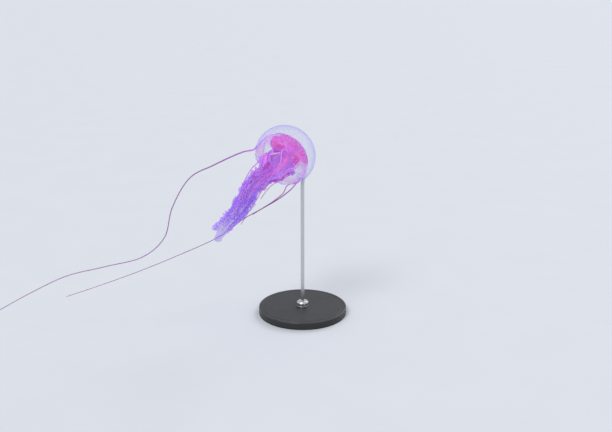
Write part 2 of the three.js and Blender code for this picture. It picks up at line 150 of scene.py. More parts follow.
class Surface:
    """A closed surface sewn from grids of points, each with its own spot on a flat map."""

    def __init__(self, *marks):
        self.marks = {mark: [] for mark in marks}
        self.points, self.size = [], 0
        self.quads, self.quad_spots = [], []
        self.trios, self.trio_spots = [], []

    def add(self, points, **marks):
        """Keeps a block of points with its marks, and gives back their numbers."""
        numbers = self.size + np.arange(points[..., 0].size).reshape(points.shape[:-1])
        self.size += numbers.size
        self.points.append(points.reshape(-1, 3))
        for mark, kept in self.marks.items():
            kept.append(np.broadcast_to(marks.get(mark, 0.0), numbers.shape).ravel())
        return numbers

    def face(self, numbers, spot, closed=False):
        """Fills a grid of points with faces. A closed one joins its last column to its first."""
        ring = np.append(numbers, numbers[:, :1], 1) if closed else numbers
        left, low, wide, high = spot
        across = np.linspace(left, left + wide, ring.shape[1])
        along = np.linspace(low, low + high, ring.shape[0])
        flat = np.stack(np.meshgrid(across, along), -1)
        for kept, sheet in ((self.quads, ring[..., None]), (self.quad_spots, flat)):
            four = (sheet[:-1, :-1], sheet[:-1, 1:], sheet[1:, 1:], sheet[1:, :-1])
            kept.append(np.stack(four, 2).reshape(-1, 4, sheet.shape[-1]))

    def grid(self, points, spot, closed=False, **marks):
        """Adds a grid of points and faces it."""
        numbers = self.add(points, **marks)
        self.face(numbers, spot, closed)
        return numbers

    def sew(self, first, second, spot):
        """Joins two rows of (number, how far along) with triangles."""
        left, low, wide, high = spot
        start, end = first[0][1], max(first[-1][1], second[-1][1])
        i = j = 0
        while i + 1 < len(first) or j + 1 < len(second):
            along_first = j + 1 == len(second)
            if i + 1 < len(first) and not along_first:
                along_first = first[i + 1][1] <= second[j + 1][1]
            if along_first:
                trio = ((*first[i], 0), (*first[i + 1], 0), (*second[j], 1))
                i += 1
            else:
                trio = ((*first[i], 0), (*second[j + 1], 1), (*second[j], 1))
                j += 1
            self.trios.append([number for number, _, _ in trio])
            share = wide / (end - start)
            spots = [(left + share * (at - start), low + high * row) for _, at, row in trio]
            self.trio_spots.append(spots)

    def fan(self, ring, tip, spot, **marks):
        """Closes a ring with triangles to one more point."""
        centre = self.add(np.asarray(tip, float).reshape(1, 3), **marks)[0]
        left, low, wide, high = spot
        turns = np.linspace(0, math.tau, len(ring) + 1)
        middle = (left + wide / 2, low + high / 2)
        across, along = 0.5 + 0.5 * np.cos(turns), 0.5 + 0.5 * np.sin(turns)
        rim = list(zip(left + wide * across, low + high * along))
        for i, number in enumerate(ring):
            self.trios.append([number, ring[(i + 1) % len(ring)], centre])
            self.trio_spots.append([rim[i], rim[i + 1], middle])

    def piece(self, name, finish, *nodes):
        """Welds the grids into one mesh in metres, which stands for these CAD nodes."""
        points = np.concatenate(self.points)
        found = np.unique(points.round(4), axis=0, return_index=True, return_inverse=True)
        _, first, welded = found
        quads = welded.ravel()[np.concatenate(self.quads)[..., 0]]
        trios = welded.ravel()[np.array(self.trios, int).reshape(-1, 3)]
        mesh = bpy.data.meshes.new(name)
        mesh.from_pydata((points[first] * MM).tolist(), [], quads.tolist() + trios.tolist())
        flat = mesh.uv_layers.new(name="OFBake")
        spots = (np.concatenate(self.quad_spots), np.array(self.trio_spots, float))
        flat.data.foreach_set("uv", np.concatenate([s.ravel() for s in spots]).astype(np.float32))
        for mark, kept in self.marks.items():
            layer = mesh.attributes.new(mark, "FLOAT", "POINT")
            layer.data.foreach_set("value", np.concatenate(kept)[first].astype(np.float32))
        return finished(mesh, finish, *nodes)


def placed(name, data):
    """Puts a mesh, lamp or camera in the scene as a new object."""
    made = bpy.data.objects.new(name, data)
    bpy.context.scene.collection.objects.link(made)
    return made


def finished(mesh, finish, *nodes):
    """A mesh as a smooth piece with its faces out and its finish on, riding on the body."""
    shape = bmesh.new()
    shape.from_mesh(mesh)
    bmesh.ops.recalc_face_normals(shape, faces=shape.faces)
    shape.to_mesh(mesh)
    shape.free()
    mesh.shade_smooth()
    mesh.materials.append(finish.material)
    made = placed(mesh.name, mesh)
    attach(made, "root")
    if nodes:
        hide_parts(*nodes)
    return made


# The skin is one surface of bell, throat, arms and tentacles. Its marks say how dense the
# tissue is, how pink it is, how much it is tentacle, and where a crest or a bead is.
skin = Surface("flesh", "blush", "thread", "crest")

column = np.arange(BELL_COLUMNS) * (2 * TENTACLES / BELL_COLUMNS)
towards_notches = NOTCH_CROWDING * np.sin(math.tau * column) / math.tau
angles = (column - towards_notches) * (math.pi / TENTACLES)
mean_radius = (BELL_RADIUS + CROWN_HEIGHT) / 2
edge_tilt = RIM_TILT + flap_length(angles) / mean_radius
down = np.arange(1, OUTSIDE_ROWS + 1)[:, None] / OUTSIDE_ROWS
turn = np.arange(1, EDGE_ROWS + 1)[:, None] / (EDGE_ROWS + 1) * math.pi
overhang = LAPPET_THICKNESS / 2 * np.sin(turn) / mean_radius
back = np.arange(FLAP_ROWS + 1)[:, None] / FLAP_ROWS
up = np.arange(CAVITY_ROWS + 1)[:, None] / CAVITY_ROWS
roof_tilt = np.arcsin(ROOF_RING_RADIUS * (1 + THROAT_CORNER * corners(angles)) / CAVITY_RADIUS)
swelling = np.abs(np.sin(POUCHES / 2 * angles)) ** 0.5 * rise(0, 0.15, up) * rise(1, 0.75, up)
bell_rows = [
    outside(down * RIM_TILT + (edge_tilt - RIM_TILT) * down**8, angles),
    outside(edge_tilt + overhang, angles, LAPPET_THICKNESS / 2 * (1 - np.cos(turn))),
    outside(between(edge_tilt, FLAP_TOP_TILT, back), angles, LAPPET_THICKNESS),
    cavity(between(CAVITY_RIM_TILT, roof_tilt, up), angles, POUCH_DEPTH * swelling),
]
rim_rows = EDGE_ROWS + FLAP_ROWS + 1
roof = np.append(np.zeros(OUTSIDE_ROWS + rim_rows), up)[:, None]
inside = np.append(np.zeros(OUTSIDE_ROWS), np.ones(rim_rows + CAVITY_ROWS + 1))[:, None]
septum = np.abs(np.cos(POUCHES / 2 * angles)) ** 12
muscle = inside * rise(0, 0.04, roof) * rise(0.5, 0.12, roof)
bell = skin.grid(
    in_frame(np.concatenate(bell_rows)),
    (0, 0.51, 0.94, 0.485),
    closed=True,
    flesh=inside * (WALL_DENSITY + SEPTUM_DENSITY * septum)
    + MUSCLE_DENSITY * muscle
    + ROOF_DENSITY * rise(0.55, 1.0, roof),
    blush=WALL_PINK * inside + MUSCLE_PINK * muscle + ROOF_PINK * rise(0.5, 0.95, roof),
)
skin.fan(bell[0], in_frame(outside(0.0, 0.0)), (0.95, 0.95, 0.04, 0.04))

# ---- throat and oral arms
# The throat is a soft four-cornered tube that hangs from the cavity's roof. It splits into
# four oral arms, each a thick pink rib with a thin, deeply ruffled frill down both sides.
# The arms hang as one bundle round a curved line that trails behind the swimming bell.

THROAT_RADII = (10.5, 7.2)
THROAT_END_HEIGHT = 6.0
THROAT_FILLET = 2.6
THROAT_FILLET_END = 0.22
THROAT_WALL = 1.8
THROAT_ROOT_WALL = 3.0
THROAT_ROWS = 14
BUNDLE_STRAIGHT = (6.0, -8.0, -20.0, -32.0)
BUNDLE_TRAIL = (
    *((-37, -41, -26), (-47, -52, -39), (-53, -59, -50)),
    *((-62, -67, -61), (-75, -73, -73), (-91, -81, -89)),
)
BUNDLE_POINTS = 601
LINE_STEPS = 48
ARM_REACH = (0.93, 0.98, 0.85, 0.92)
ARM_TWIST = math.radians(22)
PARTED_AT = 0.06
ARM_ROWS = 250
RIB_THICKNESS = 3.0
FRILL_THICKNESS = 0.5
QUARTER_MARGIN = 1.0
OVERLAP = 2.2
TIP_WIDTH = 0.65
TIP_TAPER = 0.3
TIP_ROUNDED = 0.045
SCALLOP = 0.1
EDGE_RAGGED = 0.06
LEAST_RUFFLE = 0.65
RUFFLE_ALONG = 44
RUFFLE_BETWEEN_ARMS = 1.7
RUFFLE_BETWEEN_EDGES = 1.1
SPREAD = ((0, 5.6), (0.15, 16.5), (0.32, 8.6), (0.5, 6.8), (0.75, 6.4), (1, 8))
FLARE = ((0, 0.2), (0.15, 3.4), (0.5, 2.2), (1, 0.8))
RUFFLE = ((0, 0.1), (0.15, 2.4), (0.5, 1.7), (1, 0.6))
FRILL = ((0, 0), (0.07, 1.3), (0.3, 2.0), (0.75, 1.8), (1, 1.2))
FRILL_WAVES = 21
FRILL_FOLDED_BACK = 0.30
FINE_WAVES = 47
FINE_DEPTH = 0.20
RIB_DENSITY = 0.92
FRILL_CLEARER = 0.34
LOWER_CLEARER = 0.42
WISPS_CLEARER = 0.30
CREST_DENSITY = 0.20
ARM_PINK = 0.36
RIB_PINK = 0.50
LOWER_LESS_PINK = 0.16
LOWER_BLUER = 0.22
CREST_PINK = 0.40
THROAT_DENSITY = 0.9
THROAT_PINK = 0.95
THROAT_FADE = 0.25
OUTER_COLUMNS = 39
INNER_COLUMNS = 25


def blend(knots, place):
    """A value that passes smoothly through (place, value) knots."""
    value = np.full(np.shape(place), float(knots[0][1]))
    for (start, low), (end, high) in zip(knots, knots[1:]):
        value += (high - low) * rise(start, end, place)
    return value


def free_line(stops, count):
    """Even points on a smooth line through these stops, its way at each, and its length."""
    stops = np.array(stops, float)
    knots = np.vstack([2 * stops[0] - stops[1], stops, 2 * stops[-1] - stops[-2]])
    share = np.arange(LINE_STEPS)[:, None] / LINE_STEPS
    bends = []
    for before, start, end, after in zip(knots, knots[1:], knots[2:], knots[3:]):
        pairs = ((before, start), (start, end), (end, after))
        first, middle, last = (math.sqrt(math.dist(*pair)) for pair in pairs)
        onward = (end - start) / middle
        leaving = (start - before) / first - (end - before) / (first + middle) + onward
        arriving = onward - (after - start) / (middle + last) + (after - end) / last
        bends.append(
            start * (2 * share**3 - 3 * share**2 + 1)
            + leaving * middle * (share**3 - 2 * share**2 + share)
            + end * (3 * share**2 - 2 * share**3)
            + arriving * middle * (share**3 - share**2)
        )
    fine = np.vstack([*bends, stops[-1]])
    run = np.append(0, np.cumsum(np.linalg.norm(np.diff(fine, axis=0), axis=1)))
    even = np.linspace(0, run[-1], count)
    points = np.stack([np.interp(even, run, fine[:, axis]) for axis in range(3)], 1)
    ways = np.gradient(points, axis=0)
    return points, ways / np.linalg.norm(ways, axis=1)[:, None], run[-1]


def carried(across, ways):
    """A direction across a line, carried along it without twisting."""
    kept = []
    for way in ways:
        across = across - way * (across @ way)
        across = across / np.linalg.norm(across)
        kept.append(across)
    return np.array(kept)


straight = [AXES[2] * height for height in BUNDLE_STRAIGHT]
bundle, bundle_ways, _ = free_line([*straight, *BUNDLE_TRAIL], BUNDLE_POINTS)
bundle_across = carried(AXES[0], bundle_ways)
bundle_side = np.cross(bundle_across, bundle_ways)


def on_bundle(values, place):
    """What the bundle's line has at a place from 0 to 1."""
    where = np.linspace(0, 1, BUNDLE_POINTS)
    return np.stack([np.interp(place, where, values[:, axis]) for axis in range(3)], -1)


def throat_radius(angle, drop, fillet=THROAT_FILLET):
    """The throat's radius at a share of the way down, wider where it meets the roof."""
    straight_part = between(*THROAT_RADII, np.sqrt(drop))
    flared = straight_part + fillet * np.clip(1 - drop / THROAT_FILLET_END, 0, 1) ** 3
    return flared * (1 + THROAT_CORNER * corners(angle))


def roof_height(radius):
    """Height of the cavity's roof at a distance from the bell's axis."""
    return CAVITY_HEIGHT * np.sqrt(1 - (radius / CAVITY_RADIUS) ** 2) - CAVITY_DROP


def throat_face(angle, drop, face):
    """The throat from the roof down: face is 1 for its outside and -1 for its inside."""
    if face > 0:
        radius = throat_radius(angle, drop)
        top = roof_height(radius)
    else:
        radius = throat_radius(angle, drop, 0) - between(THROAT_ROOT_WALL, THROAT_WALL, drop)
        top = roof_height(radius) - THROAT_WALL
    return in_frame(polar(radius, angle, between(top, THROAT_END_HEIGHT, drop)))


def heading(arm):
    """The angle round the bell's axis at which an arm starts."""
    return FIRST_ARM + math.tau / ARMS * arm


def swing(wave, middle=0.5):
    """A wave from -1 to 1, made to swing about this middle and reach 1."""
    return middle + (1 - middle) * wave


def round_end(start, end, place, blunt=0.02):
    """Goes from 1 at the start to nearly 0 at the end, as a ball's outline does."""
    return np.sqrt(1 + blunt - rise(start, end, place) ** 2)


def arm_axes(arm, place):
    """An arm's line in the bundle at a place: its middle, the way on, outward and sideways."""
    lines = (bundle, bundle_ways, bundle_across, bundle_side)
    centre, way, across, side = (on_bundle(values, place) for values in lines)
    turned = (heading(arm) + ARM_TWIST * place)[..., None]
    outward = across * np.cos(turned) + side * np.sin(turned)
    sideways = side * np.cos(turned) - across * np.sin(turned)
    return centre, way, outward, sideways


def arm_face(arm, place, station, face):
    """An oral arm's outside (face 1), middle (0) or inside (-1), from edge -1 to edge 1.

    The waves' odd numbers keep the folds of an edge from repeating.
    """
    place, station = np.broadcast_arrays(place, station)
    hand, lean = np.sign(station), np.abs(station)
    centre, way, outward, sideways = arm_axes(arm, place)
    reach = ARM_REACH[arm]
    taper = blend(((0, 1), (reach - TIP_TAPER, 1), (reach, TIP_WIDTH)), place)
    rounding = round_end(reach - TIP_ROUNDED, reach, place, 0.01)
    spread, flare, ruffle = (blend(knots, place) for knots in (SPREAD, FLARE, RUFFLE))
    phase = place * RUFFLE_ALONG + arm * RUFFLE_BETWEEN_ARMS
    frill = math.tau * FRILL_WAVES * place + 2.6 * np.sin(17 * place + 2 * arm + hand)
    frill = frill + 1.2 * np.sin(41 * place + 3 * arm) + 1.7 * hand + arm
    fine = math.tau * FINE_WAVES * place + 2.4 * np.sin(37 * place + arm)
    fine = fine + 2.6 * hand + 2 * arm
    uneven = swing(np.sin(29 * place + 2.3 * arm + 2 * hand), LEAST_RUFFLE)
    depth = blend(FRILL, place) * rounding * uneven
    lift = lean**1.5 * (flare + ruffle * np.sin(phase + hand * RUFFLE_BETWEEN_EDGES))
    lift = lift + depth * (lean**2.5 * np.sin(frill) + FINE_DEPTH * lean**4 * np.sin(fine))
    slide = -depth * FRILL_FOLDED_BACK * lean**2.5 * np.sin(2 * frill)
    meeting = spread + flare - ruffle - QUARTER_MARGIN + OVERLAP * rise(0.3, 0.6, place)
    half_width = meeting / (1 + SCALLOP) * taper * rounding
    ragged = EDGE_RAGGED * uneven * lean**3 * np.cos(frill + 1)
    half_width = half_width * (1 + SCALLOP * np.cos(phase - hand) + ragged)
    rib = RIB_THICKNESS * np.sqrt(taper) * rounding
    thinned = np.clip(lean * 1.15, 0, 1) ** 0.55
    thickness = between(rib, FRILL_THICKNESS * rounding, thinned)
    off = spread + lift + face * thickness / 2
    sheet = centre + outward * off[..., None] + sideways * (station * half_width)[..., None]
    sheet = sheet + way * slide[..., None]
    around = math.pi / ARMS * station
    wall = THROAT_WALL if face < 0 else 0
    ring = throat_radius(heading(arm) + around, 1.0) - wall
    tube = outward * (ring * np.cos(around))[..., None]
    tube = centre + (tube + sideways * (ring * np.sin(around))[..., None])
    return BELL_CENTRE + between(tube, sheet, rise(0, PARTED_AT, place)[..., None])


def arm_marks(arm, rows, station, drops):
    """How dense and how pink the throat and an arm are, and where the frill's crests are."""
    lean = np.abs(station)
    patches = swing(np.sin(63 * rows + 5 * arm + 2.2 * station))
    lower = rise(0.1, 0.85, rows)
    clearer = LOWER_CLEARER * lower + WISPS_CLEARER * rise(0.5, 0.98, rows)
    arm_flesh = (RIB_DENSITY - FRILL_CLEARER * lean**1.2) * (1 - clearer) + CREST_DENSITY * lean**10
    arm_blush = ARM_PINK + (RIB_PINK - LOWER_LESS_PINK * lower) * (1 - lean) ** 1.5
    arm_blush = arm_blush - LOWER_BLUER * lower + CREST_PINK * lean**8 * patches
    parted = rise(0, 1.5 * PARTED_AT, rows)
    throat_blush = np.repeat(THROAT_PINK - THROAT_FADE * drops, lean.shape[1], axis=1)
    throat_flesh = np.full_like(throat_blush, THROAT_DENSITY)
    arm_flesh = between(THROAT_DENSITY, arm_flesh, parted)
    arm_blush = between(THROAT_PINK - THROAT_FADE, arm_blush, parted)
    return {
        "flesh": np.concatenate([throat_flesh, arm_flesh]),
        "blush": np.concatenate([throat_blush, arm_blush]),
        "crest": lean**6,
    }


drops = (np.arange(THROAT_ROWS) / THROAT_ROWS)[:, None] ** 1.6
throat_ring, blind_ring = [], []
for arm in range(ARMS):
    rows = np.linspace(0, ARM_REACH[arm], ARM_ROWS)[:, None]
    faces = {}
    sides = ((1, OUTER_COLUMNS, 0.085 * arm), (-1, INNER_COLUMNS, 0.345 + 0.053 * arm))
    for face, columns, left in sides:
        station = np.sin(np.linspace(-1, 1, columns) * math.pi / 2)[None, :]
        angle = heading(arm) + math.pi / ARMS * station
        points = (throat_face(angle, drops, face), arm_face(arm, rows, station, face))
        spot = (left, 0.005, 0.08 if face > 0 else 0.048, 0.49)
        marks = arm_marks(arm, rows, station, drops)
        numbers = skin.grid(np.concatenate(points), spot, **marks)
        faces[face] = (numbers, station[0])
        ring = throat_ring if face > 0 else blind_ring
        ring += list(zip(numbers[0, :-1], angle[0]))
    for edge in (0, -1):
        wall = np.stack([numbers[THROAT_ROWS:, edge] for numbers, _ in faces.values()], 1)
        skin.face(wall, (0.56 + 0.006 * (2 * arm - edge), 0.005, 0.004, 0.49))
    ends = [list(zip(numbers[-1], station)) for numbers, station in faces.values()]
    skin.sew(*ends, (0.95, 0.80 + 0.01 * arm, 0.04, 0.004))

seam = throat_ring[0][1]
past_seam = angles > math.tau + seam - 1e-6
roof_ring = sorted(zip(bell[-1], angles - math.tau * past_seam), key=lambda at: at[1])
for ring in (roof_ring, throat_ring):
    ring.append((ring[0][0], ring[0][1] + math.tau))
skin.sew(roof_ring, throat_ring, (0, 0.4965, 0.94, 0.012))
blind_end = in_frame(np.array([0, 0, roof_height(0) - THROAT_WALL]))
blind_marks = {"flesh": THROAT_DENSITY, "blush": THROAT_PINK}
skin.fan([number for number, _ in blind_ring], blind_end, (0.95, 0.90, 0.04, 0.04), **blind_marks)

# ---- tentacles
# Eight long threads grow from the rim, one between each pair of flaps and the next. Each is
# studded with rings of stinging cells, like beads. The first and fifth are let out long.

TENTACLE_STEP = 0.66
TENTACLE_SIDES = 7
TENTACLE_RADII = (1.1, 0.55)
TENTACLE_ROOT_DROP = 6
TENTACLE_ROOT_TUCK = 0.4
ROOT_DEPTH = 1.2
ROOT_FLARE = 0.55
ROOT_ROUNDING = 1.8
TIP_ROUNDING = 1.6
BEAD_SPACING = 2.6
BEAD_DEPTH = 0.15
BEADS_CLOSER_AT_ROOT = 0.25
ROUTES = (
    (
        *((-54, -12, 7), (-90, -30, -6), (-118, -41, -19), (-140, -54, -54), (-151, -61, -92)),
        *((-178, -63, -116), (-226, -64, -129), (-277, -64, -142), (-325, -65, -165)),
        (-372, -67, -191),
    ),
    ((-27, -40, 10), (-33, -55, -7), (-41, -68, -22), (-50, -76, -37)),
    ((-5, -52, 3), (-16, -66, -12), (-27, -76, -27)),
    ((5, -45, -8), (-6, -54, -18), (-19, -62, -27), (-29, -70, -39)),
    (
        *((8, -26, -38), (-6, -28, -49), (-30, -27, -64), (-53, -28, -77), (-83, -38, -97)),
        *((-142, -59, -119), (-182, -69, -133), (-227, -76, -148), (-275, -79, -164)),
    ),
    ((-3, -2, -50), (-16, -6, -60), (-30, -11, -68), (-43, -14, -76)),
    ((-29, 9, -45), (-38, 3, -60), (-48, -7, -74), (-58, -19, -88)),
    ((-44, 7, -19), (-54, -1, -35), (-61, -12, -53), (-72, -27, -71)),
)
FLAT_STRIPS = (5, 2, 2, 2, 4, 2, 2, 2)
STRETCHED = (25, 110)
STRETCHED_THINNER = 0.16
STRETCHED_CLEARER = 0.30
THREAD_DENSITIES = (0.35, 0.90)
DENSE_AT = 8
DARK_AT = 10
ROOT_PINK = 0.55
PINK_ROOTS = (32, 90, 90, 60, 14, 20, 60, 60)
TENTACLE_SIZES = (1, 0.75, 0.75, 0.85, 0.8, 0.8, 0.9, 0.8)


def once_round(sides):
    """Even angles round a ring."""
    return math.tau * np.arange(sides) / sides


rim_height = CROWN_HEIGHT * math.cos(RIM_TILT)
root_radius = BELL_RADIUS * math.sin(RIM_TILT) - LAPPET_THICKNESS / 2
clear_radius, clear_height = root_radius - TENTACLE_ROOT_TUCK, rim_height - TENTACLE_ROOT_DROP
strip = 0
for tentacle, route in enumerate(ROUTES):
    angle = math.tau / TENTACLES * tentacle
    root = polar(root_radius, angle, rim_height + ROOT_DEPTH) @ AXES
    stops = [root, polar(clear_radius, angle, clear_height) @ AXES, *route]
    length = free_line(stops, 2)[2]
    line, ways, _ = free_line(stops, int(length / TENTACLE_STEP))
    across = carried(polar(1.0, angle + math.pi / 2, 0.0) @ AXES, ways)
    side = np.cross(across, ways)
    run = np.linspace(0, 1, len(line))[:, None]
    past = run * length
    closer = 1 + BEADS_CLOSER_AT_ROOT * (1 - run)
    bead = np.sin(math.tau * past / BEAD_SPACING * closer)
    size = between(*TENTACLE_RADII, run**0.5)
    size = TENTACLE_SIZES[tentacle] * size * (1 + BEAD_DEPTH * bead)
    size = size * (1 + ROOT_FLARE * np.exp(-past / ROOT_ROUNDING))
    size = size * round_end(length - TIP_ROUNDING, length, past)
    size = size * round_end(ROOT_ROUNDING, 0, past, 0.03)
    stretched = rise(*STRETCHED, past)
    size = size * (1 - STRETCHED_THINNER * stretched)
    turn = once_round(TENTACLE_SIDES)
    ring = across[:, None] * (size * np.cos(turn))[..., None]
    ring = ring + side[:, None] * (size * np.sin(turn))[..., None]
    density = between(*THREAD_DENSITIES, rise(0, DENSE_AT, past))
    marks = {
        "flesh": density - STRETCHED_CLEARER * stretched,
        "blush": ROOT_PINK * np.exp(-past / PINK_ROOTS[tentacle]),
        "thread": rise(0, DARK_AT, past),
        "crest": swing(bead),
    }
    numbers = skin.add(BELL_CENTRE + line[:, None] + ring, **marks)
    for part in np.array_split(np.arange(len(line)), FLAT_STRIPS[tentacle]):
        rows = np.append(part[0] - 1, part) if part[0] else part
        skin.face(numbers[rows], (0.615 + 0.0155 * strip, 0.005, 0.012, 0.49), closed=True)
        strip += 1
    for row, at in ((0, 0.70), (-1, 0.75)):
        spot = (0.95 + 0.005 * tentacle, at, 0.004, 0.02)
        skin.fan(numbers[row], BELL_CENTRE + line[row], spot, flesh=0.85, thread=1, crest=0.5)

# ---- skin
# Bell, throat, arms and tentacles are welded into one skin of jelly. Clear jelly shows most
# where it is seen edge on. Dense tissue goes from blue violet to pink, and the tentacles are
# dark violet with paler beads. The tissue also has a painted glow in its own colour, which
# lightens its shaded sides and the gaps between the arms.

CLEAR_JELLY = (0.21, 0.21, 0.82, 1)
BLUE_VIOLET = (0.19, 0.16, 0.76, 1)
FLESH_PINK = (0.88, 0.22, 0.70, 1)
FRILL_PALE = (0.70, 0.42, 0.90, 1)
THREAD_DARK = (0.07, 0.03, 0.19, 1)
THREAD_BEAD = (0.24, 0.10, 0.40, 1)
THREAD_ROOT = (0.70, 0.34, 0.90, 1)
JELLY_IOR = 1.36
CLEAR_COVER = 0.055
FLESH_COVER = 0.70
CLOUD_COVER = 0.42
EDGE_FILM = 0.62
FLESH_FILM = 0.38
PINK_FILM = 0.28


class Tap:
    """What comes out of a node. A sum with taps adds the Math nodes that work it out."""

    def __init__(self, finish, socket):
        self.finish = finish
        self.socket = socket

    def sum(self, operation, first, second):
        return self.finish.node("ShaderNodeMath", {"operation": operation}, {0: first, 1: second})

    def __add__(self, other):
        return self.sum("ADD", self, other)

    def __sub__(self, other):
        return self.sum("SUBTRACT", self, other)

    def __rsub__(self, other):
        return self.sum("SUBTRACT", other, self)

    def __mul__(self, other):
        return self.sum("MULTIPLY", self, other)

    def __pow__(self, other):
        return self.sum("POWER", self, other)

    def __rpow__(self, other):
        return self.sum("POWER", other, self)

    __radd__ = __add__
    __rmul__ = __mul__


class Finish:
    """A material being put together, with the plain values of its shader."""

    def __init__(self, name, plain):
        self.material = bpy.data.materials.new(name)
        self.material.use_nodes = True
        self.tree = self.material.node_tree
        self.shader = self.tree.nodes["Principled BSDF"]
        for socket, value in plain.items():
            self.shader.inputs[socket].default_value = value

    def node(self, kind, settings=(), sockets=(), output=0):
        """Adds a node: its settings first, then the values or links of its sockets."""
        made = self.tree.nodes.new(kind)
        for name, value in dict(settings).items():
            setattr(made, name, value)
        for socket, value in dict(sockets).items():
            if isinstance(value, Tap):
                self.tree.links.new(value.socket, made.inputs[socket])
            else:
                made.inputs[socket].default_value = value
        return Tap(self, made.outputs[output])

    def feed(self, **taps):
        """Links taps to the shader: base_color feeds Base Color, and so on."""
        for name, tap in taps.items():
            socket = self.shader.inputs[name.replace("_", " ").title()]
            self.tree.links.new(tap.socket, socket)

    def mark(self, name):
        """One of a surface's own marks."""
        return self.node("ShaderNodeAttribute", {"attribute_name": name}, output=2)

    def place(self, stretch=(1, 1, 1)):
        """Where a point of the piece is, in metres, stretched along each axis."""
        where = self.node("ShaderNodeTexCoord", output=3)
        return self.node("ShaderNodeVectorMath", {"operation": "MULTIPLY"}, {0: where, 1: stretch})

    def noise(self, size, detail=3.0, stretch=(1, 1, 1)):
        """Cloudy noise from 0 to 1, whose patches are about this many millimetres across."""
        sockets = {"Vector": self.place(stretch), "Scale": 1 / (size * MM), "Detail": detail}
        return self.node("ShaderNodeTexNoise", (), sockets)

    def tint(self, share, first, second):
        """Mixes two colours."""
        colours = {0: share, 6: first, 7: second}
        return self.node("ShaderNodeMix", {"data_type": "RGBA"}, colours, output=2)

    def bump(self, height, depth):
        """Feeds a bump this many millimetres deep to the shader."""
        sockets = {"Strength": 1.0, "Distance": depth * MM, "Height": height}
        self.feed(normal=self.node("ShaderNodeBump", (), sockets))


# The emission is a painted glow: the tissue lights itself in its own colour, so its shaded sides
# are not dark.
subsurface_and_painted_glow = {"Subsurface Weight": 0.5, "Subsurface Scale": 0.008, "Emission Strength": 0.17}
tissue = Finish("jelly_skin", {"Roughness": 0.2, "IOR": JELLY_IOR, **subsurface_and_painted_glow})
flesh, blush, thread, crest = (tissue.mark(name) for name in skin.marks)
cloud = tissue.noise(4.0, 4.0)
speckle = tissue.noise(0.9, 2.0)
dense = tissue.tint(blush * (0.5 + cloud), BLUE_VIOLET, FLESH_PINK)
colour = tissue.tint((flesh + blush * 0.25) ** 0.6, CLEAR_JELLY, dense)
colour = tissue.tint(crest * flesh * speckle * 0.9, colour, FRILL_PALE)
thread_colour = tissue.tint(blush * 1.6, tissue.tint(crest, THREAD_DARK, THREAD_BEAD), THREAD_ROOT)
colour = tissue.tint(thread, colour, thread_colour)
edge_on = tissue.node("ShaderNodeLayerWeight", (), {"Blend": 0.5}, output=1)
body = CLEAR_COVER + flesh * (FLESH_COVER + cloud * CLOUD_COVER)
film = edge_on**4.0 * EDGE_FILM + edge_on**2.0 * (flesh * FLESH_FILM + blush * PINK_FILM)
tissue.feed(base_color=colour, emission_color=colour, alpha=1 - (1 - body) * (1 - film))
tissue.bump(cloud * flesh + speckle * 0.4, 0.25)

skin_nodes = [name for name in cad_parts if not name.startswith(("gonad", "stand"))]
skin.piece("jellyfish_skin", tissue, *skin_nodes)

# ---- frill curtains
# Two more thin curtains of the same jelly grow out of each arm's rib. They are ruffled as
# the frills are, and are rooted inside the rib. They fill the bundle with folds.

CURTAIN_ROOT = 0.26
CURTAIN_LEAN = math.radians(30)
CURTAIN_WIDTH = ((0, 0.8), (0.08, 3.6), (0.3, 4.8), (0.75, 4.6), (1, 0.8))
CURTAIN_FOLD = ((0, 0.0), (0.1, 1.1), (0.4, 1.7), (0.8, 1.6), (1, 0.5))
CURTAIN_START = 0.05
CURTAIN_LUSH = (1.0, 1.5, 1.75, 1.0)
CURTAIN_WAVES = 18
CURTAIN_FOLDED_BACK = 0.35
CURTAIN_ROWS = 300
CURTAIN_COLUMNS = 9
CURTAIN_DENSITY = 0.62
CURTAIN_EDGE_CLEARER = 0.28
CURTAIN_LOWER_CLEARER = 0.40
CURTAIN_WISPS_CLEARER = 0.36
CURTAIN_PINK = 0.40
CURTAIN_LOWER_BLUER = 0.26
CURTAIN_EDGE_PINK = 0.45

